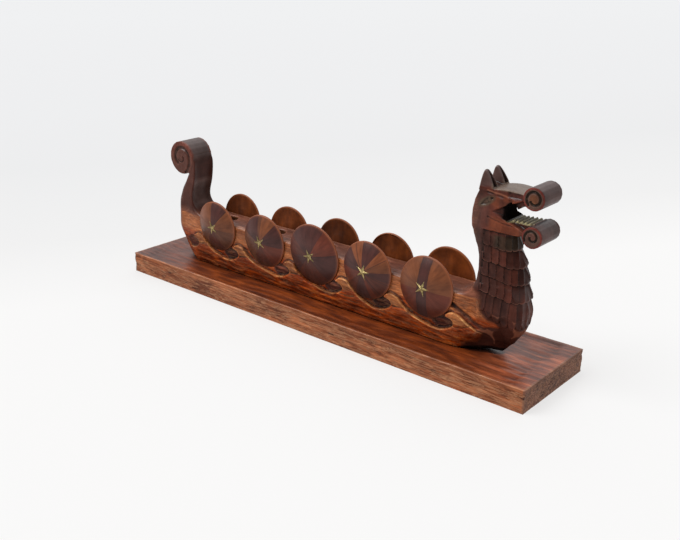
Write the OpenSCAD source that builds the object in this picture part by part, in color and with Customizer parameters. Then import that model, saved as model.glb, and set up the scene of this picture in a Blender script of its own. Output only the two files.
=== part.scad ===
// Carved wooden longship incense burner on a plinth: a hull with two rows of round shields,
// a dragon figurehead at the bow and a scrolled stern post. Millimetres, +X to the bow, +Z up,
// origin in the middle of the plinth's underside. Starboard is -Y and port is +Y.

/* [Plinth] */
// Length of the plinth board
plinth_l = 460; // [440:5:500]
// Width of the plinth board
plinth_w = 95; // [80:1:120]
// Thickness of the plinth board
plinth_h = 20; // [16:0.5:24]
// Depth of the tray that is gouged out of the plinth's top
tray_depth = 1.2; // [0.5:0.1:2]
// Width of the plain rim at each end of the tray
rim_end = 11; // [8:1:16]
// Width of the plain rim along each side of the tray
rim_side = 4; // [3:0.5:6]

/* [Ship] */
// Height of the flat deck above the table
deck_z = 67; // [66:0.5:68]
// Half width of the deck, inside its rounded edge
deck_half = 13.6; // [13:0.1:14]
// Half width of the ship at the carved waves, its widest place
beam_half = 19.6; // [19:0.1:20.5]
// Height of the widest place
beam_z = 38; // [36:0.5:40]
// Half width of the flat that the ship stands on
foot_half = 15.5; // [14:0.1:16]
// Glued joint between the hull and the figurehead
bow_joint_x = 146; // [144:0.5:148]
// Glued joint between the hull and the stern post
stern_joint_x = -158; // [-160:0.5:-156]
// Half width of the neck and of the stern post
post_half = 13.2; // [12.5:0.1:13.5]

/* [Incense wells] */
// Radius of each well in the deck
well_r = 8.5; // [7:0.25:9]
// Depths of the hand-drilled wells, from the stern
well_depth = [15, 16.5, 16, 15.5, 17]; // [10:0.5:17]

/* [Shields] */
// Places of the five pairs of shields along the ship, from the stern
shield_x = [-134, -69, -6, 55.5, 117.5]; // [-140:0.5:125]
// Heights of the shields' centres, from the stern
shield_z = [62.4, 61.8, 63.2, 63.6, 64.5]; // [61:0.1:65]
// Radii of the hand-turned starboard shields, from the stern
starboard_r = [24.9, 25.6, 28.8, 26, 26.3]; // [24:0.1:29.5]
// Radii of the port shields, from the stern
port_r = [25, 25.4, 25.3, 24.6, 25.6]; // [24:0.1:29.5]
// Lean of each pair, with the tops outwards, in degrees
shield_lean = [3, 3, 4, 0, -2]; // [-3:0.5:5]
// Height of the dome above the rim
dome_h = 6.7; // [5:0.1:8]
// Thickness of the rim
rim_t = 1.7; // [1.2:0.1:2.2]
// Half width of the hull's side behind the shields
side_half = 16.4; // [16:0.1:16.8]

/* [Brass star studs] */
// Radius to the points of the star
star_r = 7.4; // [6:0.1:7.8]
// Height of the star's ridges
star_h = 1.4; // [1:0.1:2]
// Shank radius
nail_r = 0.7; // [0.5:0.05:0.9]
// Shank length under the star
nail_l = 13.5; // [12:0.5:14]

/* [Waves] */
// Height of the crests
crest_z = 46.5; // [45:0.5:47.5]
// Height of the troughs
trough_z = 30.5; // [28:0.5:32]
// Places of the six crests along the ship, from the stern
crest_x = [-167, -110, -42, 22, 76.5, 139.5]; // [-170:0.5:142]

/* [Hidden] */
$fn = 64;
seat_z = plinth_h - tray_depth;
last_wave_l = 62;
seat_clearance = 0.3;
stern_end_x = -200;
bow_end_x = 205;
dowel_r = 4;
dowel_z = [seat_z + 14, seat_z + 27];
screw_x = [-100, 100];
screw_r = 2.1;
screw_l = 37;
screw_head_r = 4.2;
screw_head_h = 3;
screw_clearance = 0.25;
side_plane_top_z = 64;
side_plane_low_z = 54;

shield_count = len(shield_x);
shield_r = [starboard_r, port_r];
// Name, direction along Y and place in shield_r of each side
sides = [["starboard", -1, 0], ["port", 1, 1]];
shield_names = [for (s = sides) for (i = [1:shield_count]) str("shield_", s[0], "_", i)];
stud_names = [for (s = sides) for (i = [1:shield_count]) str("stud_", s[0], "_", i)];

// ---- curves ----

function spline_point(a, b, c, d, t) =
    0.5 * (2 * b + (c - a) * t + (2 * a - 5 * b + 4 * c - d) * t * t + (3 * b - a - 3 * c + d) * t * t * t);

// A smooth curve through the points, with its end points kept
function smooth(pts, steps = 4) = concat(
    [for (i = [0:len(pts) - 2]) for (s = [0:steps - 1])
        spline_point(pts[max(i - 1, 0)], pts[i], pts[i + 1], pts[min(i + 2, len(pts) - 1)], s / steps)],
    [pts[len(pts) - 1]]
);

// An outline in the X-Z plane, extruded to both sides of the centre plane
module side_prism(half) {
    rotate([90, 0, 0]) translate([0, 0, -half]) linear_extrude(2 * half) children();
}

// ---- ship's body, common to the hull and both ends ----

// Half section of the ship behind the carved waves, with the rounded edge of the deck
module core_section() {
    edge_r = side_half - deck_half;
    half = concat(
        [[0, seat_z], [foot_half, seat_z], [foot_half + 0.3, 30], [foot_half + 0.8, 44]],
        [[side_half, side_plane_low_z], [side_half, side_plane_top_z]],
        [for (a = [22.5:22.5:67.5]) [
            deck_half + edge_r * cos(a),
            side_plane_top_z + (deck_z - side_plane_top_z) * sin(a)]],
        [[deck_half, deck_z], [0, deck_z]]
    );
    for (m = [0, 1]) mirror([m, 0]) polygon(half);
}

// Section through the layer that the waves are carved in: two arcs with a flat foot
module wave_section() {
    side_r = 75;
    intersection() {
        translate([-beam_half, seat_z]) square([2 * beam_half, crest_z + 1 - seat_z]);
        translate([beam_half - side_r, beam_z]) circle(side_r, $fn = 180);
        translate([side_r - beam_half, beam_z]) circle(side_r, $fn = 180);
    }
}

// Side view of one wave: a hooked crest that breaks towards the stern, and a long back
// that falls to the trough before the next crest
module wave_outline(length) {
    fall = length * 0.82;
    back = [for (t = [0:0.125:1]) [t * fall, trough_z + (crest_z - trough_z) * (1 + cos(180 * t)) / 2]];
    difference() {
        polygon(concat(
            [[-4, trough_z + 2], [-6, crest_z - 3.5], [-2.5, crest_z - 0.6]],
            back,
            [[length, trough_z], [length, seat_z], [-8, seat_z], [-8, trough_z]]
        ));
        translate([-6.5, crest_z - 9.5]) circle(5.6);
    }
}

module waves_outline() {
    last = len(crest_x) - 1;
    for (i = [0:last])
        translate([crest_x[i], 0]) wave_outline((i < last ? crest_x[i + 1] - crest_x[i] : last_wave_l) - 4);
    translate([stern_end_x, seat_z]) square([bow_end_x - stern_end_x, trough_z - 0.5 - seat_z]);
}

// Plan of the ship: straight sides between the joints, drawn in to a point at each end
module ship_plan() {
    half = beam_half;
    stern_r = 92;
    bow_r = 98;
    stern_x = stern_joint_x + 10;
    bow_x = bow_joint_x + 2;
    translate([stern_x, -half]) square([bow_x - stern_x, 2 * half]);
    intersection() {
        translate([stern_end_x - 5, -half]) square([stern_x - stern_end_x + 5.01, 2 * half]);
        translate([stern_x, half - stern_r]) circle(stern_r, $fn = 180);
        translate([stern_x, stern_r - half]) circle(stern_r, $fn = 180);
    }
    intersection() {
        translate([bow_x - 0.01, -half]) square([bow_end_x - bow_x + 5, 2 * half]);
        translate([bow_x, half - bow_r]) circle(bow_r, $fn = 180);
        translate([bow_x, bow_r - half]) circle(bow_r, $fn = 180);
    }
}

// The ship's body between two places along it
module ship_body(from_x, to_x) {
    intersection() {
        union() {
            translate([from_x, 0, 0]) rotate([90, 0, 90]) linear_extrude(to_x - from_x) core_section();
            intersection() {
                translate([from_x, 0, 0]) rotate([90, 0, 90]) linear_extrude(to_x - from_x) wave_section();
                side_prism(beam_half + 1) waves_outline();
            }
        }
        linear_extrude(deck_z + 1) ship_plan();
    }
}

// ---- plinth ----

module plinth() {
    color("saddlebrown") difference() {
        translate([-plinth_l / 2, -plinth_w / 2, 0]) cube([plinth_l, plinth_w, plinth_h]);
        translate([rim_end - plinth_l / 2, rim_side - plinth_w / 2, seat_z])
            cube([plinth_l - 2 * rim_end, plinth_w - 2 * rim_side, tray_depth + 1]);
        for (x = screw_x) translate([x, 0, 0]) screw_hole();
    }
}

// ---- hull ----

module hull() {
    color("sienna") difference() {
        ship_body(stern_joint_x, bow_joint_x);
        for (i = [0:shield_count - 1])
            translate([shield_x[i], 0, deck_z - well_depth[i]]) cylinder(r = well_r, h = well_depth[i] + 1);
        for (z = dowel_z) {
            at_bow_dowel(z) dowel();
            at_stern_dowel(z) dowel();
        }
        for (x = screw_x) translate([x, 0, 0]) screw();
        for (s = sides) for (i = [0:shield_count - 1]) at_shield(i, s[1]) {
            nail();
            shield_seat(shield_r[s[2]][i]);
        }
    }
}

// ---- figurehead ----

nose_at = [206.1, 155.3];
nose_r = 9;
nose_half = 14;
jaw_at = [207.4, 126];
jaw_r = 8.4;
jaw_half = 15;
jaw_top_z = jaw_at[1] + jaw_r;
mouth_top_z = nose_at[1] - nose_r;
chin_z = 121.8;
skull_top_z = 159;
tooth_pitch = 3.6;
tooth_h = 1.9;
row_top_z = [69, 82.5, 95.5, 109, chin_z];
row_front_x = [204.2, 201.2, 197.2, 192.4];

module neck_outline() {
    polygon(concat(
        [[bow_joint_x, seat_z]],
        smooth([[176, seat_z], [188, 24.5], [197, 35], [202.5, 48], [204.3, 60], [203, 69]]),
        [for (i = [0:len(row_front_x) - 1]) each [
            [row_front_x[i], row_top_z[i] + 1.5],
            [i + 1 < len(row_front_x) ? row_front_x[i + 1] - 0.8 : row_front_x[i] - 3.5, row_top_z[i + 1]]]],
        [[160, chin_z]],
        smooth([[156, 120], [159.8, 107], [161.8, 96], [161, 86], [157, 76.5], [bow_joint_x, deck_z]])
    ));
}

// Each row of scales is a block with a round front, set back above the row below it
module scale_rows() {
    for (i = [0:len(row_front_x) - 1]) {
        bottom = i == 0 ? 45 : row_top_z[i];
        translate([0, 0, bottom]) linear_extrude(row_top_z[i + 1] - bottom + 0.01) intersection() {
            translate([bow_joint_x, -post_half]) square([70, 2 * post_half]);
            translate([row_front_x[i] - 24, 0]) circle(24, $fn = 96);
        }
    }
}

module head_outline() {
    teeth = [for (i = [0:3]) each [
        [jaw_at[0] - 3 - i * tooth_pitch, jaw_top_z - 0.3],
        [jaw_at[0] - 3.9 - i * tooth_pitch, jaw_top_z + tooth_h - 0.3 * i]]];
    polygon(concat(
        [[row_front_x[3] - 4, chin_z], [jaw_at[0] - jaw_r + 0.1, jaw_at[1] - 0.4], jaw_at, [jaw_at[0], jaw_top_z - 0.3]],
        teeth,
        smooth([[189.5, 133.6], [183.5, 134.5], [180.5, 138.5], [181.5, 143.5], [187.3, mouth_top_z + 0.6]]),
        [[190.9, 143.6], [193.2, mouth_top_z + 0.8], [196, mouth_top_z - 0.9], [198, mouth_top_z + 0.4],
            [200.6, mouth_top_z - 0.8], [202.4, mouth_top_z + 0.1], [nose_at[0], mouth_top_z], nose_at],
        [[nose_at[0] - nose_r + 0.3, 157.5]],
        smooth([[184, 157.8], [172, 157.4], [163, skull_top_z], [157, 157], [154.6, 150], [153.4, 140],
            [153.6, 130], [156, chin_z - 1.8]])
    ));
}

module ear_outline() {
    polygon(concat(smooth([[171.5, 156.8], [166, 164.5], [160.6, 169.5]]),
        smooth([[159.6, 169.3], [156.8, 162], [155.6, 153]]), [[164, 153]]));
}

module figurehead() {
    color("#5a2a1c") difference() {
        union() {
            intersection() {
                side_prism(beam_half + 1) neck_outline();
                union() {
                    ship_body(bow_joint_x, bow_end_x + 1);
                    scale_rows();
                }
            }
            side_prism(post_half) head_outline();
            for (m = [0, 1]) mirror([0, m, 0])
                translate([0, -4.6, 0]) rotate([90, 0, 0]) linear_extrude(post_half - 5.2) ear_outline();
            side_prism(nose_half) translate(nose_at) circle(nose_r);
            side_prism(jaw_half) translate(jaw_at) circle(jaw_r);
        }
        for (z = dowel_z) at_bow_dowel(z) dowel();
    }
}

// ---- stern post ----

tail_at = [-188.1, 121.2];
tail_r = 16;

module stern_outline() {
    polygon(concat(
        [[stern_joint_x, seat_z], [-176, seat_z]],
        smooth([[-176, seat_z], [-188, 25], [-195.5, 38], [-199, 52], [-198.6, 66], [-195.3, 78], [-189.5, 91],
            [-180.6, 106.8]]),
        [tail_at, [tail_at[0] + tail_r - 0.4, tail_at[1] + 3]],
        smooth([[tail_at[0] + tail_r - 0.4, tail_at[1] + 3], [-170.4, 112], [-172.6, 96], [-175.6, 84],
            [-173, 74.5], [-166.5, 69.6], [stern_joint_x, deck_z]])
    ));
}

module stern_post() {
    color("#6b3420") difference() {
        union() {
            intersection() {
                side_prism(beam_half + 1) stern_outline();
                union() {
                    ship_body(stern_end_x - 1, stern_joint_x);
                    translate([stern_end_x - 1, -post_half, 45]) cube([stern_joint_x - stern_end_x + 1, 2 * post_half, 90]);
                }
            }
            side_prism(post_half) translate(tail_at) circle(tail_r);
        }
        for (z = dowel_z) at_stern_dowel(z) dowel();
    }
}

// ---- dowels and screws ----

dowel_l = 34;

module dowel() {
    rotate([0, 90, 0]) translate([0, 0, -dowel_l / 2]) cylinder(r = dowel_r, h = dowel_l);
}

module at_bow_dowel(z) {
    translate([bow_joint_x + 1, 0, z]) children();
}

module at_stern_dowel(z) {
    translate([stern_joint_x - 1, 0, z]) children();
}

module screw() {
    slot = 0.9;
    difference() {
        union() {
            translate([0, 0, 0.6]) cylinder(r1 = screw_head_r, r2 = screw_r, h = screw_head_h);
            translate([0, 0, 0.6]) cylinder(r = screw_r, h = screw_l - 4);
            translate([0, 0, 0.6 + screw_l - 4]) cylinder(r1 = screw_r, r2 = 0.3, h = 4);
        }
        translate([-screw_head_r - 1, -slot / 2, -0.1]) cube([2 * screw_head_r + 2, slot, 1.5]);
    }
}

// Clearance hole and countersink for a base screw
module screw_hole() {
    translate([0, 0, -1]) cylinder(r = screw_r + screw_clearance, h = plinth_h + 2);
    translate([0, 0, -0.01]) cylinder(r = screw_head_r + screw_clearance, h = 0.62);
    translate([0, 0, 0.6])
        cylinder(r1 = screw_head_r + screw_clearance, r2 = screw_r + screw_clearance, h = screw_head_h);
}

// ---- shields and studs ----

// Places children with +Z out of the ship, on the rim plane at the centre of shield i
module at_shield(i, side) {
    translate([shield_x[i], side * side_half, shield_z[i]])
        rotate([-side * (90 + shield_lean[i]), 0, 0])
            translate([0, 0, rim_t]) children();
}

// The dome's top is dressed flat where the star sits
dome_flat = 0.3;

module shield(r) {
    dome_r = r - 0.4;
    sphere_r = (dome_r * dome_r + dome_h * dome_h) / (2 * dome_h);
    dish_half = 7.2;
    dish_depth = 1;
    dish_r = (dish_half * dish_half + dish_depth * dish_depth) / (2 * dish_depth);
    rotate_extrude($fn = 96) difference() {
        union() {
            intersection() {
                translate([0, dome_h - sphere_r]) circle(sphere_r, $fn = 360);
                translate([nail_r, -rim_t / 2]) square([dome_r - nail_r, rim_t / 2 + dome_h - dome_flat]);
            }
            translate([nail_r, -rim_t]) square([r - nail_r, rim_t]);
        }
        translate([16.4, -rim_t + dish_depth - dish_r]) circle(dish_r, $fn = 180);
    }
}

// Flat that is pared into the hull's side and waves, for a shield to bear on
module shield_seat(r) {
    translate([0, 0, -rim_t]) cylinder(r = r + seat_clearance, h = rim_t + dome_h);
}

module nail() {
    translate([0, 0, dome_h - dome_flat - nail_l]) cylinder(r = nail_r, h = nail_l + 0.01);
}

// Five points with a ridge along each, rising to the middle
module star() {
    base = 0.5;
    rim = [for (k = [0:9]) let (r = k % 2 == 0 ? star_r : star_r * 0.4) [r * sin(36 * k), r * cos(36 * k)]];
    linear_extrude(base) polygon(rim);
    translate([0, 0, base]) polyhedron(
        points = concat([for (p = rim) [p[0], p[1], 0]], [[0, 0, star_h - base]], [[0, 0, -0.1]]),
        faces = concat([for (k = [0:9]) [k, (k + 1) % 10, 10]], [for (k = [0:9]) [(k + 1) % 10, k, 11]])
    );
}

module stud() {
    color("gold") {
        nail();
        translate([0, 0, dome_h - dome_flat]) star();
    }
}

plinth();
hull();
figurehead();
stern_post();
color("burlywood") at_bow_dowel(dowel_z[0]) dowel();  // bow_dowel_lower
color("burlywood") at_bow_dowel(dowel_z[1]) dowel();  // bow_dowel_upper
color("burlywood") at_stern_dowel(dowel_z[0]) dowel();  // stern_dowel_lower
color("burlywood") at_stern_dowel(dowel_z[1]) dowel();  // stern_dowel_upper
color("silver") translate([screw_x[0], 0, 0]) screw();  // base_screw_stern
color("silver") translate([screw_x[1], 0, 0]) screw();  // base_screw_bow
for (s = sides) for (i = [1:shield_count]) {
    color("peru") at_shield(i - 1, s[1]) shield(shield_r[s[2]][i - 1]);
    at_shield(i - 1, s[1]) stud();
}
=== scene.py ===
"""Carved wooden longship incense burner on a plinth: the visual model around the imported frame.

Lengths in the carving sections are millimetres, turned into metres when a mesh is made.
+X is the bow, -Y is starboard, +Z is up.
"""
import math

import bpy
import numpy as np
from mathutils import Matrix, Vector


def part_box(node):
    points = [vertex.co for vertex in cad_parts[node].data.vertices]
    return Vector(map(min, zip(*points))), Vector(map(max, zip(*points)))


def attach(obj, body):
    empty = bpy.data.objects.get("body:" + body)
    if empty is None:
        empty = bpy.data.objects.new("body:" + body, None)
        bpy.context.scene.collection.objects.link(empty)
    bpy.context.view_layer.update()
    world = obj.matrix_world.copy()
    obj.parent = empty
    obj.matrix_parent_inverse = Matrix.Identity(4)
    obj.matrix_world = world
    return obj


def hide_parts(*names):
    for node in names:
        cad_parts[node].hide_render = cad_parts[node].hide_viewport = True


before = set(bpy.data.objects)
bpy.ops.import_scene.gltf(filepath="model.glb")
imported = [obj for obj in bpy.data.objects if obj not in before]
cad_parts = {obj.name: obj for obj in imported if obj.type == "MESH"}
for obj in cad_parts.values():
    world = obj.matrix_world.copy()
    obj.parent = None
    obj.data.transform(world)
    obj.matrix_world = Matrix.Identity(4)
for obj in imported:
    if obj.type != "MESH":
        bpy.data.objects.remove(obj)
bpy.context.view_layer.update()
MM = 0.001


def corners(node):
    """A node's lowest and highest corners in millimetres."""
    low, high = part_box(node)
    return np.array(low) / MM, np.array(high) / MM


# ---------------------------------------------------------------- sizes from the frame

_, plinth_high = corners("plinth")
hull_low, hull_high = corners("hull")
head_low, head_high = corners("figurehead")
stern_low, stern_high = corners("stern_post")

SEAT = hull_low[2]            # the tray's floor, where the ship stands
DECK = hull_high[2]
BEAM = hull_high[1]           # half width of the ship at the carved waves
BEAM_Z = SEAT + 19.2          # height of the widest place
WALL = 16.4                   # half width of the hull's side behind the shields
POST = 13.2                   # half width of the neck and the tail post
BOW_JOINT = hull_high[0]
STERN_JOINT = hull_low[0]
LAP = 0.4                     # the stained skins run this far over each glued joint
WELL_R = 8.5
WELL_DEPTHS = (15.0, 16.5, 16.0, 15.5, 17.0)
SIDES = {"starboard": -1, "port": 1}
NUMBERS = range(1, 6)
DISCS = {(side, i): corners(f"shield_{side}_{i}") for side in SIDES for i in NUMBERS}
SHIELD_X = [float(sum(c[0] for c in DISCS["starboard", i]) / 2) for i in NUMBERS]
LEAN = [math.radians(degrees) for degrees in (3, 3, 4, 0, -2)]   # tops outwards
RIM = 1.7                     # thickness of a shield's rim
DOME = 6.7                    # height of its dome above the rim
DOME_FLAT = 0.3               # pared off the dome's top for the star


def disc_radius(side, number):
    low, high = DISCS[side, number]
    return (high[0] - low[0]) / 2


def disc_centre(side, number):
    """Middle of a shield's rim plane, and the shield's own right, up and out directions."""
    low, high = DISCS[side, number]
    lean = LEAN[number - 1]
    sign = SIDES[side]
    out = np.array((0, sign * math.cos(lean), -math.sin(lean)))
    up = np.array((0, sign * math.sin(lean), math.cos(lean)))
    middle_z = (low[2] + high[2]) / 2 - RIM / 2 * math.sin(lean)
    centre = np.array(((low[0] + high[0]) / 2, sign * (WALL + RIM * math.cos(lean)), middle_z))
    return centre, np.array((np.cross(up, out), up, out))


# ---------------------------------------------------------------- carving kit


def spline(points, steps=6):
    """Points on a smooth curve through the given points."""
    p = np.array(points, float)
    n = len(p)
    out = []
    for i in range(n - 1):
        a, b, c, d = p[[max(i - 1, 0), i, i + 1, min(i + 2, n - 1)]]
        for t in np.arange(steps) / steps:
            square, cube = (2 * a - 5 * b + 4 * c - d) * t**2, (3 * b - a - 3 * c + d) * t**3
            out.append(0.5 * (2 * b + (c - a) * t + square + cube))
    out.append(p[-1])
    return np.array(out)


def outline_distance(outline, u, v):
    """Signed distance from each point (u, v) to a closed outline, negative inside."""
    nearest = np.full(np.broadcast(u, v).shape, 1e9)
    inside = np.zeros(nearest.shape, bool)
    ends = np.roll(outline, -1, axis=0)
    for (ax, ay), (bx, by) in zip(outline, ends):
        ex, ey = bx - ax, by - ay
        length2 = ex * ex + ey * ey
        if length2 < 1e-12:
            continue
        t = np.clip(((u - ax) * ex + (v - ay) * ey) / length2, 0, 1)
        nearest = np.minimum(nearest, (u - ax - t * ex) ** 2 + (v - ay - t * ey) ** 2)
        if ey:
            inside ^= ((ay > v) != (by > v)) & (u < ax + (v - ay) * ex / ey)
    return np.where(inside, -1, 1) * np.sqrt(nearest)


def line_distance(points, u, v):
    """Distance from each point (u, v) to an open line."""
    nearest = np.full(np.broadcast(u, v).shape, 1e9)
    for (ax, ay), (bx, by) in zip(points[:-1], points[1:]):
        ex, ey = bx - ax, by - ay
        t = np.clip(((u - ax) * ex + (v - ay) * ey) / (ex * ex + ey * ey + 1e-12), 0, 1)
        nearest = np.minimum(nearest, (u - ax - t * ex) ** 2 + (v - ay - t * ey) ** 2)
    return np.sqrt(nearest)


def ramp(x, low, high):
    """Smooth step from 0 at low to 1 at high."""
    t = np.clip((x - low) / (high - low), 0, 1)
    return t * t * (3 - 2 * t)


def mix(a, b, t):
    return a + (b - a) * t


def blend_min(a, b, k):
    """Union of two fields with a fillet of about k."""
    h = np.clip(0.5 + 0.5 * (b - a) / k, 0, 1)
    return b + (a - b) * h - k * h * (1 - h)


def round_slab(outline, slab, radius):
    """Extrusion of an outline whose edges are rounded; radius may vary over the shape."""
    a = outline + radius
    b = slab + radius
    return np.minimum(np.maximum(a, b), 0) + np.hypot(np.maximum(a, 0), np.maximum(b, 0)) - radius


def cell_noise(i, j, seed):
    """A repeatable number from 0 to 1 for each whole cell (i, j)."""
    return np.mod(np.sin(i * 127.1 + j * 311.7 + seed * 74.7) * 43758.5453, 1)


def cuts(u, v, seed):
    """Hollow tool cuts on a unit grid of shifted cells: 1 in the middle of a cut, 0 on the ridges."""
    cu, cv = np.floor(u), np.floor(v)
    first = np.full(np.broadcast(u, v).shape, 9.0)
    for di in (-1, 0, 1):
        for dj in (-1, 0, 1):
            i, j = cu + di, cv + dj
            pu = i + 0.5 + 0.7 * (cell_noise(i, j, seed) - 0.5)
            pv = j + 0.5 + 0.7 * (cell_noise(i, j, seed + 5) - 0.5)
            first = np.minimum(first, (u - pu) ** 2 + (v - pv) ** 2)
    return 1 - np.clip(first / 0.5, 0, 1)


def waviness(u, v, seed):
    """Slow hand-made unevenness between -1 and 1."""
    total = 0
    for k in range(4):
        a = seed * 1.7 + k * 2.3
        total = total + np.sin(u * (0.6 + 0.5 * k) + v * (0.9 - 0.35 * k) + a) * math.cos(a)
    return total / 3


def half_grid(low, high, step):
    """Sample places that reach just past a box, from the centre plane to port."""
    xs, _, zs = [np.arange(a - 2 * step, b + 2.5 * step, step) for a, b in zip(low, high)]
    return xs, np.arange(0, high[1] + 2.5 * step, step), zs


def surface_net(half, xs, ys, zs):
    """Vertices and quads of the surface where a field, given for y >= 0 and mirrored, is zero."""
    field = np.concatenate([half[:, :0:-1], half], axis=1)
    axes = (xs, np.concatenate([-ys[:0:-1], ys]), zs)
    inside = field < 0
    nx, ny, nz = field.shape
    count = np.zeros((nx - 1, ny - 1, nz - 1), np.int8)
    for dx in (0, 1):
        for dy in (0, 1):
            for dz in (0, 1):
                count += inside[dx:nx - 1 + dx, dy:ny - 1 + dy, dz:nz - 1 + dz]
    active = (count > 0) & (count < 8)
    cell = np.argwhere(active)
    index = np.full(active.shape, -1, np.int64)
    index[active] = np.arange(len(cell))
    total = np.zeros((len(cell), 3))
    hits = np.zeros(len(cell))
    units = np.eye(3, dtype=int)
    for axis in range(3):
        for s in (0, 1):
            for t in (0, 1):
                start = s * units[(axis + 1) % 3] + t * units[(axis + 2) % 3]
                f0 = field[tuple((cell + start).T)]
                f1 = field[tuple((cell + start + units[axis]).T)]
                cross = (f0 < 0) != (f1 < 0)
                part = np.where(cross, f0 / np.where(cross, f0 - f1, 1), 0)
                total += np.where(cross[:, None], cell + start + part[:, None] * units[axis], 0)
                hits += cross
    step = xs[1] - xs[0]
    points = np.array([a[0] for a in axes]) + step * total / hits[:, None]
    quads = []
    for axis in range(3):
        u, v = units[(axis + 1) % 3], units[(axis + 2) % 3]
        near, far = [slice(None)] * 3, [slice(None)] * 3
        near[axis], far[axis] = slice(0, -1), slice(1, None)
        a, b = inside[tuple(near)], inside[tuple(far)]
        edge = np.argwhere(a != b)
        edge = edge[(edge[:, (axis + 1) % 3] > 0) & (edge[:, (axis + 2) % 3] > 0)]
        edge = edge[(edge < np.array(index.shape)).all(axis=1)]
        quad = np.stack([index[tuple((edge - o).T)] for o in (u + v, v, 0 * u, u)], axis=1)
        outward = a[tuple(edge.T)]
        quad[~outward] = quad[~outward][:, ::-1]
        quads.append(quad)
    return points, np.concatenate(quads)


def vertex_normals(points, faces):
    a, b, c, d = (points[faces[:, k]] for k in range(4))
    normal = np.cross(c - a, d - b)
    total = np.zeros((len(points), 3))
    for k in range(4):
        np.add.at(total, faces[:, k], normal)
    return total / (np.linalg.norm(total, axis=1, keepdims=True) + 1e-12)


def convexity(points, faces, normals, rounds=2):
    """How far each vertex stands out of its surroundings: positive on arrises, negative in hollows."""
    n = len(points)
    ring = np.bincount(faces.ravel(), minlength=n)[:, None] * 2
    smooth = points
    for _ in range(rounds):
        total = np.zeros((n, 3))
        for k in range(4):
            for other in (faces[:, (k + 1) % 4], faces[:, (k - 1) % 4]):
                for axis in range(3):
                    total[:, axis] += np.bincount(faces[:, k], smooth[other, axis], n)
        smooth = total / ring
    return ((points - smooth) * normals).sum(axis=1)


def make_mesh(name, points, faces, materials, attributes=None, smooth=True):
    """A mesh object from points in millimetres, riding on the part's one body."""
    faces = np.asarray(faces, np.int32)
    sides = faces.shape[1]
    mesh = bpy.data.meshes.new(name)
    mesh.vertices.add(len(points))
    mesh.vertices.foreach_set("co", (np.asarray(points) * MM).astype(np.float32).ravel())
    mesh.loops.add(faces.size)
    mesh.loops.foreach_set("vertex_index", faces.ravel())
    mesh.polygons.add(len(faces))
    mesh.polygons.foreach_set("loop_start", np.arange(0, faces.size, sides, dtype=np.int32))
    mesh.polygons.foreach_set("use_smooth", np.full(len(faces), smooth))
    for key, values in (attributes or {}).items():
        vector = np.ndim(values) == 2
        layer = mesh.attributes.new(key, "FLOAT_VECTOR" if vector else "FLOAT", "POINT")
        layer.data.foreach_set("vector" if vector else "value", np.asarray(values, np.float32).ravel())
    mesh.update()
    mesh.validate()
    for material in materials:
        mesh.materials.append(material)
    piece = bpy.data.objects.new(name, mesh)
    bpy.context.scene.collection.objects.link(piece)
    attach(piece, "root")
    return piece


# ---------------------------------------------------------------- materials


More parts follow.
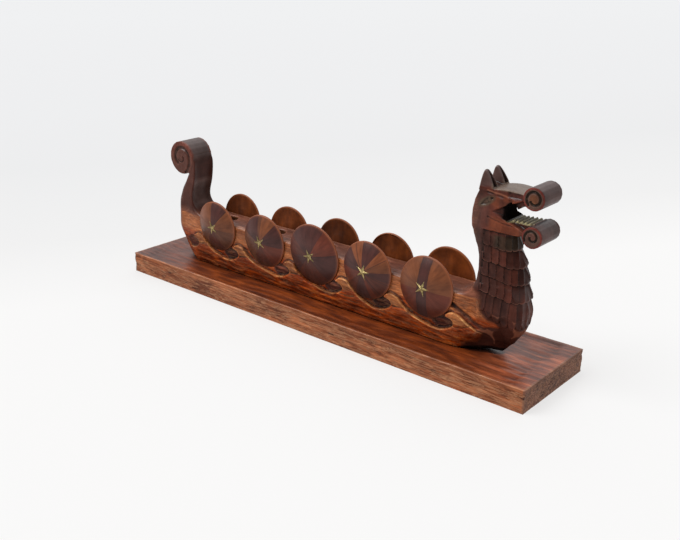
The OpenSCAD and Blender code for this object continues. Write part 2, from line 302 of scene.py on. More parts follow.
class Nodes:
    """Short calls for building one material's node tree."""

    def __init__(self, name):
        self.material = bpy.data.materials.new(name)
        self.material.use_nodes = True
        self.tree = self.material.node_tree
        self.shader = self.tree.nodes["Principled BSDF"]
        self.position = self.tree.nodes.new("ShaderNodeTexCoord").outputs["Object"]

    def link(self, source, target):
        self.tree.links.new(source, target)

    def put(self, node, name, value):
        socket = node.inputs[name]
        if isinstance(value, bpy.types.NodeSocket):
            self.link(value, socket)
        else:
            socket.default_value = value

    def math(self, operation, a, b=0.0):
        node = self.tree.nodes.new("ShaderNodeMath")
        node.operation = operation
        self.put(node, 0, a)
        self.put(node, 1, b)
        return node.outputs[0]

    def attribute(self, name, output="Fac"):
        node = self.tree.nodes.new("ShaderNodeAttribute")
        node.attribute_name = name
        return node.outputs[output]

    def stretched(self, scale, vector=None):
        node = self.tree.nodes.new("ShaderNodeMapping")
        node.inputs["Scale"].default_value = scale
        self.link(vector or self.position, node.inputs["Vector"])
        return node.outputs[0]

    def noise(self, vector, scale=1.0, detail=4.0, rough=0.55, distortion=0.0):
        node = self.tree.nodes.new("ShaderNodeTexNoise")
        self.link(vector, node.inputs["Vector"])
        node.inputs["Scale"].default_value = scale
        node.inputs["Detail"].default_value = detail
        node.inputs["Roughness"].default_value = rough
        node.inputs["Distortion"].default_value = distortion
        return node.outputs["Fac"]

    def ramp(self, factor, stops, interpolation="LINEAR"):
        """A colour ramp; a stop's value is a grey or a colour."""
        node = self.tree.nodes.new("ShaderNodeValToRGB")
        node.color_ramp.interpolation = interpolation
        while len(node.color_ramp.elements) < len(stops):
            node.color_ramp.elements.new(0.5)
        for element, (place, value) in zip(node.color_ramp.elements, stops):
            element.position = place
            element.color = (*value, 1) if isinstance(value, tuple) else (value, value, value, 1)
        self.link(factor, node.inputs[0])
        return node.outputs[0]

    def mixed(self, factor, a, b, mode="MIX"):
        node = self.tree.nodes.new("ShaderNodeMix")
        node.data_type = "RGBA"
        node.blend_type = mode
        for socket, value in ((node.inputs[0], factor), (node.inputs[6], a), (node.inputs[7], b)):
            if isinstance(value, bpy.types.NodeSocket):
                self.link(value, socket)
            elif socket.type == "RGBA":
                socket.default_value = (*value, 1)
            else:
                socket.default_value = value
        return node.outputs[2]

    def times(self, a, b):
        return self.mixed(1.0, a, b, "MULTIPLY")

    def bump(self, height, distance, strength=1.0):
        node = self.tree.nodes.new("ShaderNodeBump")
        node.inputs["Strength"].default_value = strength
        node.inputs["Distance"].default_value = distance
        self.link(height, node.inputs["Height"])
        self.link(node.outputs[0], self.shader.inputs["Normal"])

    def finish(self, colour, rough, specular=0.5, metallic=0.0):
        self.link(colour, self.shader.inputs["Base Color"])
        self.link(rough, self.shader.inputs["Roughness"])
        if specular is not None:
            self.shader.inputs["Specular IOR Level"].default_value = specular
        self.shader.inputs["Metallic"].default_value = metallic
        return self.material


GRAIN_LONG = 0.055            # grain waves per millimetre along the wood
GRAIN_ACROSS = 0.60           # and across it


def stained_wood(name, smooth=0.36, scratches=0.0):
    """Stained, varnished wood: its tint, grain direction and sheen come from the carving's attributes."""
    n = Nodes(name)
    grain = n.attribute("grain", "Vector")
    figure = n.noise(grain, 1.0, 6.0, 0.62, 0.5)
    fine = n.noise(grain, 2.9, 4.0, 0.6, 0.2)
    streaks = n.ramp(figure, [(0.33, (0.34, 0.28, 0.25)), (0.43, (0.76, 0.72, 0.68)),
                              (0.52, (1.05, 1.05, 1.05)), (0.66, (1.55, 1.80, 1.95))])
    streaks = n.times(streaks, n.ramp(fine, [(0.38, 0.60), (0.52, 1.08)]))
    streaks = n.mixed(n.attribute("figure"), (1.0, 1.0, 1.0), streaks)
    wood = n.times(n.attribute("tint", "Vector"), streaks)
    blotch = n.noise(n.stretched((34, 70, 70)), 1.0, 4.0, 0.55)
    wood = n.times(wood, n.ramp(blotch, [(0.34, (0.66, 0.60, 0.58)), (0.66, (1.26, 1.28, 1.3))]))
    # large dark patches where the stain has soaked in deeper
    patches = n.noise(n.stretched((26, 75, 75)), 1.0, 7.0, 0.68, 0.9)
    patches = n.ramp(patches, [(0.38, (0.50, 0.42, 0.38)), (0.50, (1.06, 1.06, 1.06))])
    wood = n.mixed(n.attribute("figure"), wood, n.times(wood, patches))
    wear_and_painted_light = n.attribute("wear_and_painted_light")
    # painted shade darkens the hollows; the worn arrises are lighter
    wood = n.times(wood, n.ramp(wear_and_painted_light, [(0.26, 0.34), (0.5, 1.0), (0.60, 1.0), (0.85, (1.45, 1.5, 1.55))]))
    if scratches:
        wander = n.noise(n.stretched((0.5, 0.4, 0.4), grain), 1.0, 5.0, 0.65, 1.2)
        ridge = n.math("ABSOLUTE", n.math("SUBTRACT", wander, 0.5))
        lines = n.ramp(ridge, [(0.0, scratches), (0.045, 0.0)])
        wood = n.mixed(n.math("MULTIPLY", lines, n.attribute("figure")), wood, (0.46, 0.22, 0.11))
    rough = n.ramp(figure, [(0.3, smooth + 0.12), (0.7, smooth - 0.04)])
    relief = n.math("ADD", figure, n.math("MULTIPLY", fine, 0.6))
    n.bump(n.math("MULTIPLY", relief, n.attribute("figure")), 0.0005, 0.6)
    n.link(n.attribute("sheen"), n.shader.inputs["Specular IOR Level"])
    return n.finish(wood, rough, None)


def brass():
    n = Nodes("aged_brass")
    tarnish = n.noise(n.stretched((500, 500, 500)), 1.0, 4.0, 0.6)
    colour = n.ramp(tarnish, [(0.35, (0.17, 0.12, 0.05)), (0.62, (0.55, 0.43, 0.19))])
    n.bump(tarnish, 0.0002, 0.5)
    return n.finish(colour, n.ramp(tarnish, [(0.3, 0.5), (0.7, 0.30)]), metallic=1.0)


def steel():
    n = Nodes("screw_steel")
    scratches = n.noise(n.stretched((900, 900, 120)), 1.0, 3.0, 0.6)
    n.bump(scratches, 0.0001, 0.4)
    colour = n.ramp(scratches, [(0.3, 0.32), (0.7, 0.58)])
    return n.finish(colour, n.ramp(scratches, [(0.3, 0.45), (0.7, 0.25)]), metallic=1.0)


def turned_beech():
    n = Nodes("dowel_beech")
    figure = n.noise(n.stretched((40, 500, 500)), 1.0, 5.0, 0.6)
    colour = n.ramp(figure, [(0.35, (0.45, 0.29, 0.15)), (0.65, (0.68, 0.50, 0.31))])
    n.bump(figure, 0.0003, 0.5)
    return n.finish(colour, n.ramp(figure, [(0.3, 0.7), (0.7, 0.6)]), 0.3)


SHIELD_TONES = {
    "dark": (0.060, 0.018, 0.014),
    "deep": (0.084, 0.020, 0.011),
    "red": (0.122, 0.025, 0.012),
    "umber": (0.110, 0.036, 0.017),
    "brown": (0.158, 0.047, 0.017),
    "light": (0.188, 0.053, 0.019),
}


def shield_front(name, sectors, splits=(), band=None):
    """Turned face in stained sectors: (start degree, tone), counted clockwise from the top."""
    n = Nodes(name)
    parts = n.tree.nodes.new("ShaderNodeSeparateXYZ")
    n.link(n.attribute("disc", "Vector"), parts.inputs[0])
    x, y = parts.outputs[0], parts.outputs[1]
    turn = n.math("FRACT", n.math("ADD", n.math("DIVIDE", n.math("ARCTAN2", x, y), 2 * math.pi), 1.0))
    radius = n.math("SQRT", n.math("ADD", n.math("POWER", x, 2.0), n.math("POWER", y, 2.0)))
    wood = n.ramp(turn, [(degree / 360, SHIELD_TONES[tone]) for degree, tone in sectors], "CONSTANT")
    if band:
        wander = n.noise(n.stretched((0.02, 0.25, 0.02), n.attribute("disc", "Vector")), 1.0, 2.0, 0.5)
        across = n.math("ADD", x, n.math("MULTIPLY", n.math("SUBTRACT", wander, 0.5), 1.6))
        across = n.math("ABSOLUTE", n.math("SUBTRACT", across, n.math("MULTIPLY", y, 0.03)))
        wood = n.mixed(n.math("LESS_THAN", across, band), wood, SHIELD_TONES["dark"])
        edge = n.math("LESS_THAN", n.math("ABSOLUTE", n.math("SUBTRACT", across, band)), 0.5)
        wood = n.mixed(n.math("MULTIPLY", edge, 0.6), wood, (0.03, 0.012, 0.010))
    for degree in splits:
        # a thin dark glue line along a radius
        away = n.math("ABSOLUTE", n.math("SUBTRACT", turn, degree / 360))
        width = n.math("DIVIDE", 0.055, n.math("MAXIMUM", radius, 1.0))
        wood = n.mixed(n.math("MULTIPLY", n.math("LESS_THAN", away, width), 0.7), wood, (0.030, 0.012, 0.010))
    fan = n.tree.nodes.new("ShaderNodeCombineXYZ")
    n.link(n.math("MULTIPLY", turn, 34.0), fan.inputs[0])
    n.link(n.math("MULTIPLY", radius, 0.07), fan.inputs[1])
    rays = n.noise(fan.outputs[0], 1.0, 5.0, 0.62)
    wood = n.times(wood, n.ramp(rays, [(0.34, (0.76, 0.73, 0.71)), (0.62, (1.16, 1.20, 1.23))]))
    blotch = n.noise(n.stretched((0.06, 0.06, 0.06), n.attribute("disc", "Vector")), 1.0, 3.0, 0.5)
    wood = n.times(wood, n.ramp(blotch, [(0.34, 0.78), (0.66, 1.22)]))
    # painted shade: darker towards the lower edge and lighter at the top
    low = n.math("DIVIDE", n.math("ADD", y, 26.0), 52.0)
    wood = n.times(wood, n.ramp(low, [(0.0, 0.62), (0.55, 1.0), (1.0, 1.12)]))
    # the rim's edge is lighter, partly wear and partly a painted highlight
    wood = n.mixed(n.attribute("wear_and_painted_light"), wood, (0.36, 0.11, 0.045))
    n.bump(n.math("ADD", rays, blotch), 0.0003, 0.3)
    return n.finish(wood, n.ramp(rays, [(0.3, 0.40), (0.7, 0.30)]), 0.26)


def shield_back():
    n = Nodes("shield_back")
    figure = n.noise(n.stretched((160, 160, 60)), 1.0, 5.0, 0.6, 0.4)
    wood = n.ramp(figure, [(0.3, (0.100, 0.023, 0.005)), (0.55, (0.165, 0.040, 0.009)),
                           (0.75, (0.215, 0.056, 0.012))])
    blotch = n.noise(n.stretched((60, 60, 60)), 1.0, 3.0, 0.5)
    wood = n.times(wood, n.ramp(blotch, [(0.34, 0.6), (0.66, 1.2)]))
    parts = n.tree.nodes.new("ShaderNodeSeparateXYZ")
    n.link(n.attribute("disc", "Vector"), parts.inputs[0])
    # painted shade: darker towards the lower edge and lighter at the top
    low = n.math("DIVIDE", n.math("ADD", parts.outputs[1], 26.0), 52.0)
    wood = n.times(wood, n.ramp(low, [(0.25, 0.5), (0.65, 1.0), (1.0, 1.15)]))
    wood = n.times(wood, n.attribute("shade", "Vector"))
    # the rim's edge is lighter, partly wear and partly a painted highlight
    wood = n.mixed(n.attribute("wear_and_painted_light"), wood, (0.40, 0.13, 0.045))
    n.bump(figure, 0.0003, 0.4)
    return n.finish(wood, n.ramp(figure, [(0.3, 0.46), (0.7, 0.36)]), 0.2)


BRASS = brass()
BEECH = turned_beech()
STEEL = steel()
SHIP_WOOD = stained_wood("ship_wood", 0.36, 0.3)
TOP_WOOD = stained_wood("plinth_top_wood", 0.32)
EDGE_WOOD = stained_wood("plinth_edge_wood", 0.55, 0.8)
BACK_WOOD = shield_back()

# ---------------------------------------------------------------- waves along the ship's sides

CRESTS = (-167.0, -110.0, -42.0, 22.0, 76.5, 139.5)     # the CAD model's places
CREST_TOP = DECK - 18.0
TROUGH = CREST_TOP - 18.2
LEAF_LINES = (
    [(8, -9), (15, -7.5), (24, -6.5)],
    [(8, -10.5), (14, -8.6), (21, -8.8)],
    [(5, -11.5), (8, -10), (14, -9), (21, -9)],
    [(1, -14.4), (8, -14.7), (14, -14.2), (20, -12.5)],
    [(9, -9.6), (15, -8.9), (21, -9), (28, -9.6)],
    [(3.5, -12), (10.5, -11), (16, -9.8), (19.5, -8.5)],
)


def wave_lines():
    """The outline of the carved waves, and the cut lines under the leaf on each crest."""
    edge = [(-205, 44), (-192, 40), (-184, 34.5), (-180, 31.8)]
    leaves = []
    for k, crest in enumerate(CRESTS):
        span = (CRESTS[k + 1] if k < 5 else crest + 62) - crest
        hook = [(-12, -18.2), (-5, -17.2), (0, -15.4), (4.2, -12.8), (6.2, -9.8), (5.2, -7.3), (2.4, -5.7),
                (-1.0, -5.3), (-1.8, -3.8), (0.6, -1.5), (5, 0), (10, -1.0), (14, -3.5), (17.5, -6.6),
                (21, -9.2)]
        back = [(mix(21, span - 12, f), w) for f, w in ((0.2, -12.3), (0.5, -15.0), (0.8, -17.2))]
        edge += [(crest + u, CREST_TOP + w) for u, w in hook + back]
        leaves.append(spline([(crest + u, CREST_TOP + w) for u, w in LEAF_LINES[k]], 4))
    edge += [(200, TROUGH)]
    line = spline(edge, 4)
    return np.vstack([line, [(230, TROUGH), (230, 0), (-230, 0), (-230, 44)]]), leaves


WAVES, LEAVES = wave_lines()
BOW_GROOVE = spline([(139, 57), (145, 54), (151, 51), (157, 47.4), (163, 43.6), (169, 40.6), (177, 38.4)], 4)


def low_cuts(x, z):
    """Long tool cuts along the ship's low side, from 0 on their ridges to 1 in their hollows."""
    return cuts(x / 24 + 0.3 * waviness(x / 20, z / 9, 2), (z + 0.06 * x) / 4.6, 3)


def bow_cuts(x, z):
    """Wide tool cuts on the round of the bow."""
    return cuts((x + 0.5 * z) / 13, (z - 0.5 * x) / 12, 5)


def leaf_distance(x, z):
    return np.minimum.reduce([line_distance(leaf, x, z) for leaf in LEAVES])


def ship_half_width(x, z):
    """Half width of the ship's body at each place of the side view, with the waves carved in."""
    face = BEAM - (z - BEAM_Z) ** 2 / 150
    wall = np.interp(z, [SEAT, SEAT + 11, DECK - 23, DECK - 13], [WALL - 0.9, WALL - 0.6, WALL - 0.1, WALL])
    wall = wall + 0 * x
    waves = outline_distance(WAVES, x, z)
    proud = ramp(waves, 0.45, -0.35)
    half = mix(wall, face - 0.35 * ramp(waves, -7, -0.5), proud)
    # the ground is cut deeper along the outside of the waves, and hollowed under each hook
    ground = ramp(waves, 0.1, 0.8) * ramp(z, DECK - 9, DECK - 14)
    half = half - 0.35 * ground * ramp(waves, 3.2, 0.8)
    for crest in CRESTS:
        pocket = np.hypot((x - crest + 5) / 9.0, (z - CREST_TOP + 11.5) / 5.4)
        middle = np.hypot((x - crest + 8) / 9.0, (z - CREST_TOP + 10.0) / 2.8)
        half = half - 1.2 * ground * ramp(pocket, 1.35, 0.8) * (1 - 0.55 * ramp(middle, 1.1, 0.1))
    half = half - 0.6 * proud * ramp(leaf_distance(x, z + 0.5), 1.2, 0.1)
    half = half - 1.9 * ramp(line_distance(BOW_GROOVE, x, z), 3.4, 0.2)
    # long tool cuts along the low side and fainter ones above the waves
    low = ramp(z, CREST_TOP - 14, CREST_TOP - 20)
    half = half - 0.85 * low_cuts(x, z) * low
    half = half - 0.25 * cuts(x / 13, z / 5.5, 8) * ramp(z, DECK - 17, DECK - 13)
    # the ends: the waves die away into the neck and the post, and the foot draws in to a point
    bow, stern = ramp(x, BOW_JOINT + 6, BOW_JOINT + 32), ramp(x, STERN_JOINT - 4, STERN_JOINT - 30)
    swell = 1.4 * np.exp(-((z - 52) / 14) ** 2)
    half = mix(half, POST + swell, bow)
    half = mix(half, POST + 0.8 * swell - 0.3 * cuts(x / 16, z / 9, 6), stern)
    bow_run = np.clip((x - BOW_JOINT + 6) / 46, 0, 1.2)
    stern_run = np.clip((STERN_JOINT + 6 - x) / 50, 0, 1.2)
    foot = np.clip(1 - bow_run**1.6, 0.02, 1) * np.clip(1 - stern_run**2.8, 0.02, 1)
    return half * mix(foot, 1, ramp(z, SEAT - 4, DECK - 14))


def hull_radius(z):
    """Rounding of the hull's long edges: small at the foot, larger at the deck."""
    return mix(0.8, 2.6, ramp(z, DECK - 12, DECK - 6))


# ---------------------------------------------------------------- stain, painted light and grain

HULL_LOW = (0.250, 0.035, 0.002)
HULL_SIDE = (0.375, 0.112, 0.033)
DECK_TINT = (0.195, 0.062, 0.034)
# dark stain of the ends, also used as painted shade in grooves, cut hollows and the recessed ground
DARK_STAIN_AND_SHADE = (0.050, 0.014, 0.009)
POCKET = (0.074, 0.019, 0.013)
FACE = (0.112, 0.027, 0.016)
JAW_TINT = (0.175, 0.044, 0.019)
CREST_LIGHT = (0.520, 0.250, 0.090)
LEAF_TINT = (0.340, 0.118, 0.036)
OLIVE = (0.270, 0.225, 0.110)
# near-black painted shade and shadow: along the ship's foot, in the wells, under the scales' laps and in the
# throat, where it also stands for dark paint
PAINTED_SHADE_BLACK = (0.005, 0.004, 0.004)


def tinted(base, colour, amount):
    return base + (np.array(colour) - base) * np.asarray(amount)[:, None]


# height and place of the dark stain's edge at the bow
STAIN_EDGE = ((18, 149), (22, 153), (27, 161), (35, 167), (42, 172), (46, 183), (50, 175), (55, 168),
              (69, 166), (75, 158))


def bow_stain(x, z):
    """1 on the dark figurehead, 0 on the orange hull."""
    heights, edges = np.transpose(STAIN_EDGE)
    edge = np.interp(z, heights, edges)
    return ramp(x - edge + 3 * waviness(x / 5, z / 4, 3), -3.5, 3.5)


def stern_stain(x, z):
    """1 on the dark tail post, 0 on the orange hull."""
    post = ramp(z + 2 * waviness(x / 6, z / 5, 4), 64, 74) * ramp(x, -154, -164)
    return np.maximum(post, 0.6 * ramp(x, -188, -195))


def end_stain(x, z):
    """How dark either end of the ship is stained."""
    return np.where(x > 0, bow_stain(x, z), stern_stain(x, z))


def ship_tint(points):
    x, y, z = points.T
    side = ramp(np.abs(y), 8, 12)
    base = tinted(np.tile(HULL_LOW, (len(x), 1)), HULL_SIDE, ramp(z, CREST_TOP - 2, CREST_TOP + 3))
    base = tinted(base, DECK_TINT, ramp(z, DECK - 1.6, DECK - 0.4))
    waves = outline_distance(WAVES, x, z)
    near = side * ramp(x, 182, 172) * ramp(x, -190, -180)
    quiet = np.zeros(len(x))
    # the leaf on each crest is rubbed light; the waves' edges are light lines, partly wear and partly painted
    # highlight
    for crest in CRESTS:
        leaf = np.hypot((x - crest - 10) / 11, (z - CREST_TOP + 4.5) / 5.5)
        base = tinted(base, LEAF_TINT, near * ramp(leaf, 1.15, 0.6) * ramp(waves, 0, -0.6) * 0.85)
        # the pockets under each hook are darker, partly stain and partly painted shade; their raised middle gets
        # a reddish painted highlight
        pocket = np.hypot((x - crest + 5) / 11.0, (z - CREST_TOP + 11.5) / 7.0)
        dark = near * ramp(pocket, 1.1, 0.9) * ramp(waves, -0.2, 0.5)
        base = tinted(base, POCKET, dark)
        wavy_z = z - 0.8 * waviness(x / 3, z / 3, 2)
        middle = np.hypot((x - crest + 8) / 8.5, (wavy_z - CREST_TOP + 10.0) / 2.2)
        base = tinted(base, (0.150, 0.036, 0.017), 0.8 * dark * ramp(middle, 1.1, 0.3))
        # the inside of the hook's foot stays unlit
        inner = np.hypot((x - crest - 2) / 7.5, (z - CREST_TOP + 13.5) / 5.0)
        quiet = np.maximum(quiet, ramp(inner, 1.1, 0.7))
    # painted shade on the cut ground along the outside of the waves
    ground = near * ramp(waves, -0.2, 0.6) * ramp(waves, 3, 0.8) * ramp(z, DECK - 12, DECK - 17)
    base = tinted(base, DARK_STAIN_AND_SHADE, 0.3 * ground)
    broken = 0.55 + 0.45 * waviness(x / 3.1, z / 2.7, 6)
    lines = ramp(np.abs(waves + 0.25), 0.6, 0.15) * (1 - 0.75 * quiet)
    lines = np.maximum(lines, 0.7 * ramp(leaf_distance(x, z), 0.8, 0.25))
    base = tinted(base, CREST_LIGHT, near * lines * broken)
    # painted shade in the groove at the bow
    groove = near * ramp(line_distance(BOW_GROOVE, x, z), 3.2, 1.0)
    base = tinted(base, DARK_STAIN_AND_SHADE, 0.85 * groove)
    # painted shade in the hollows of the long tool cuts and painted highlight on their ridges
    low = side * ramp(z, CREST_TOP - 15, CREST_TOP - 20)
    base = tinted(base, DARK_STAIN_AND_SHADE, 0.45 * low * ramp(low_cuts(x, z), 0.5, 1.0))
    base = tinted(base, (0.40, 0.12, 0.025), 0.4 * low * ramp(low_cuts(x, z), 0.22, 0.05))
    base = tinted(base, DARK_STAIN_AND_SHADE, end_stain(x, z))
    ridge = ramp(x, 150, 158) * ramp(z, 60, 54) * ramp(bow_cuts(x, z), 0.14, 0.02)
    base = tinted(base, (0.22, 0.080, 0.044), 0.7 * ridge)
    # the deck's edge is lighter, partly wear and partly a painted highlight
    arris = ramp(np.abs(y), 11.8, 13.2) * ramp(np.abs(z - DECK + 0.5), 1.6, 0.6) * ramp(np.abs(x), 150, 142)
    base = tinted(base, (0.42, 0.18, 0.095), 0.55 * arris * broken)
    # painted contact shadow along the foot, widest under the rising ends
    lift = 0.7 + 4.6 * ramp(x, 142, 172) + 7.0 * ramp(x, -164, -188)
    base = tinted(base, PAINTED_SHADE_BLACK, 0.9 * ramp(z - SEAT, lift + 1.0, lift - 0.6))
    # painted shade in the wells
    for well_x, depth in zip(SHIELD_X, WELL_DEPTHS):
        inside = ramp(np.hypot(x - well_x, y), WELL_R + 1.2, WELL_R - 0.4) * ramp(z, DECK + 1, DECK - 3)
        base = tinted(base, PAINTED_SHADE_BLACK, 0.9 * inside * (z > DECK - depth - 2))
    return base


def ship_grain(points):
    """Grain coordinates: along the ship in the hull, up the neck and the post at its ends."""
    x, y, z = points.T
    bow = ramp(x, 158, 172) * ramp(z, 44, 58)
    stern = ramp(x, -166, -178) * ramp(z, 60, 74)
    turn = GRAIN_ACROSS - GRAIN_LONG
    along = x * GRAIN_LONG + (bow * (x - 165) + stern * (x + 172)) * turn
    up = z * GRAIN_ACROSS - (bow + stern) * (z - 62) * turn
    return np.stack([along, y * GRAIN_ACROSS, up], axis=1)


def ship_figure(points):
    """How strongly the grain shows through the stain: less on the dark ends and the deck."""
    x, y, z = points.T
    return mix(0.9, 0.06, np.maximum(end_stain(x, z), 0.6 * ramp(z, DECK - 1.6, DECK - 0.4)))


def finish_carving(name, points, quads, node, tint, grain, figure, materials, joints=(), spread=0.16,
                   sheen=0.2, polished=1.0):
    """Makes a carved skin of vertices and quads that replaces a node, with its stain, wear, painted light and
    sheen.
    """
    normals = vertex_normals(points, quads)
    bulge = convexity(points, quads, normals)
    for joint in joints:
        bulge = np.where(np.abs(points[:, 0] - joint) < 1.2, 0, bulge)
    # from this value the wood is lighter on worn arrises and darker in hollows as painted shade
    wear_and_painted_light = np.clip(0.5 + bulge / spread * 0.5, 0, 1)
    # the near-black painted shade in deep hollows gets no varnish sheen; the upward faces have been polished
    # most
    sheen = sheen * mix(0.6, 1.0, ramp(figure, 0.2, 0.8))
    sheen = mix(sheen, 0.55, polished * ramp(normals[:, 2], 0.1, 0.6)) * ramp(tint.sum(axis=1), 0.015, 0.05)
    piece = make_mesh(name, points, quads, materials,
                      {"wear_and_painted_light": wear_and_painted_light, "tint": tint, "grain": grain, "figure": figure, "sheen": sheen})
    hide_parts(node)
    return piece


# ---------------------------------------------------------------- hull


def shield_seats(x, y, z):
    """The flats that are pared into the ship for the shields, as one field to take away."""
    seats = np.full(np.broadcast(x, y, z).shape, 9.0)
    for number in NUMBERS:
        centre, (_, up, out) = disc_centre("port", number)
        radius = max(disc_radius(side, number) for side in SIDES) + 0.3
        v = (y - centre[1]) * up[1] + (z - centre[2]) * up[2]
        h = (y - centre[1]) * out[1] + (z - centre[2]) * out[2]
        seats = np.minimum(seats, np.maximum(np.hypot(x - centre[0], v) - radius, -h - RIM))
    return seats


def carve_hull(step=0.75):
    xs, ys, zs = half_grid(hull_low, hull_high, step)
    x, y, z = xs[:, None, None], ys[None, :, None], zs[None, None, :]
    half = ship_half_width(xs[:, None], zs[None, :])[:, None, :]
    deck_cuts = 0.35 * cuts(xs[:, None] / 9.0, ys[None, :] / 7.0, 4)[:, :, None]
    field = round_slab(np.maximum(z - DECK + deck_cuts, SEAT - z), y - half, hull_radius(z))
    field = np.maximum(field, -shield_seats(x, y, z))
    for well_x, depth in zip(SHIELD_X, WELL_DEPTHS):
        from_axis = np.hypot(x - well_x, y)
        well = np.maximum(from_axis - WELL_R, DECK - depth - z)
        lip = from_axis - WELL_R - 0.9 * np.maximum(z - DECK + 0.9, 0)
        field = np.maximum(field, -np.minimum(well, np.maximum(lip, DECK - 1.0 - z)))
    field = np.maximum(field, np.maximum(x - BOW_JOINT - LAP, STERN_JOINT - LAP - x))
    return surface_net(field, xs, ys, zs)


# ---------------------------------------------------------------- figurehead

NOSE = (head_high[0] - 9.7, head_high[2] - 14.2)
NOSE_R = 9.0
JAW = (head_high[0] - 8.4, head_high[2] - 43.5)
JAW_R = 8.4
LIP_TOP = NOSE[1] - NOSE_R             # underside of the upper jaw
LIP_LOW = JAW[1] + JAW_R               # top of the lower jaw
CHIN = JAW[1] - 4.2
ROWS = (69.0, 82.5, 95.5, 109.0, CHIN + 0.3)    # lower edges of the rows of scales, and the chin
SCALES_FROM = 166.5                    # the plain band along the back of the neck ends here
SCALE_W = 7.0
FRONT_Z = (25, 36, 47, 59, 69, 80, 91, 102, 111, 122)
FRONT_X = (188.6, 197.2, 201.2, 202.0, 200.7, 199.2, 196.8, 193.3, 189.6, 187.6)


def head_outline():
    nx = NOSE[0]
    back = spline([(BOW_JOINT, DECK), (152, 68.2), (157, 72.5), (160.2, 80), (161.6, 91), (160.8, 104),
                   (157.0, 114), (154.0, 123), (153.2, 131), (153.8, 139), (155.4, 146), (158.0, 152),
                   (160.8, 157.6)], 5)
    skull = spline([(160.8, 157.6), (165, 157.4), (169, 156.6), (174, 157.6), (182, 158.4), (190, 158.0),
                    (nx - 8.2, 157.0)], 5)
    upper = [(nx - 4, NOSE[1]), (nx - 2, LIP_TOP + 0.6), (nx - 3.6, LIP_TOP - 0.6), (nx - 5.2, LIP_TOP + 0.5),
             (nx - 6.8, LIP_TOP - 0.7), (nx - 8.6, LIP_TOP + 0.6), (193.9, LIP_TOP + 0.2), (191.2, 143.4),
             (188.6, 147.0), (187.0, 149.0)]
    throat = spline([(187.0, 149.0), (183.6, 146.2), (181.2, 142.2), (181.0, 138.2), (183.2, 134.8),
                     (185.4, LIP_LOW - 1.4)], 5)
    teeth = []
    for k in range(6):
        left, lift = 185.9 + k * 3.55, 0.12 * k
        teeth += [(left, LIP_LOW - 1.0 + lift), (left + 2.5, LIP_LOW + 0.9 + lift)]
    lower = [(JAW[0], LIP_LOW - 0.6), JAW, (JAW[0] - 8, JAW[1] - 0.6), (191, CHIN)]
    front = spline(list(zip(FRONT_X, FRONT_Z))[::-1] + [(183, 21), (177, SEAT)], 5)
    return np.vstack([back, skull[1:], upper, throat[1:], teeth, lower, front,
                      [(BOW_JOINT - 4, SEAT), (BOW_JOINT - 4, DECK)]])


def groove_gap(u, v, path):
    """Distance to a spiral groove; path lists its (degree, radius) around the centre."""
    degrees, radii = np.array(path, float).T
    r = np.hypot(u, v)
    angle = np.degrees(np.arctan2(v, u))
    gap = np.full(np.broadcast(u, v).shape, 9.0)
    for turn in (-1, 0, 1, 2):
        here = angle + 360 * turn
        on = (here >= degrees[0]) & (here <= degrees[-1])
        gap = np.minimum(gap, np.where(on, np.abs(r - np.interp(here, degrees, radii)), 9.0))
    return gap


def roll(side_x, side_z, y, centre, radius, half, path, width, depth, facets=15):
    """A rolled end: a cylinder with faint lengthwise facets and a groove cut into both ends."""
    u, v = side_x - centre[0], side_z - centre[1]
    angle = np.arctan2(v, u)
    lobes = np.abs(np.mod(angle * facets / (2 * math.pi), 1) - 0.5)
    outline = np.hypot(u, v) - radius + 0.3 * (0.5 - lobes)
    gap = groove_gap(u, v, path)
    carved = half - depth * ramp(gap, width, 0.3 * width) - 0.25 * cuts(u / 4.2 + 9, v / 4.2 + 9, 2)
    return round_slab(outline[:, None, :], y - carved[:, None, :], 0.6)


NOSE_GROOVE = [(-150, 3.4), (-80, 4.4), (0, 5.2), (90, 5.6), (180, 5.8), (235, 6.6)]
JAW_GROOVE = [(-200, 1.6), (-110, 2.4), (-20, 3.6), (90, 5.0), (180, 6.0), (215, 7.0)]
TAIL_GROOVE = [(-76, 15.5), (-40, 12.6), (0, 11.2), (90, 10.2), (180, 9.6), (232, 8.4)]
TAIL_CURL = [(205, 5.6), (270, 4.4), (330, 3.0), (400, 2.2)]


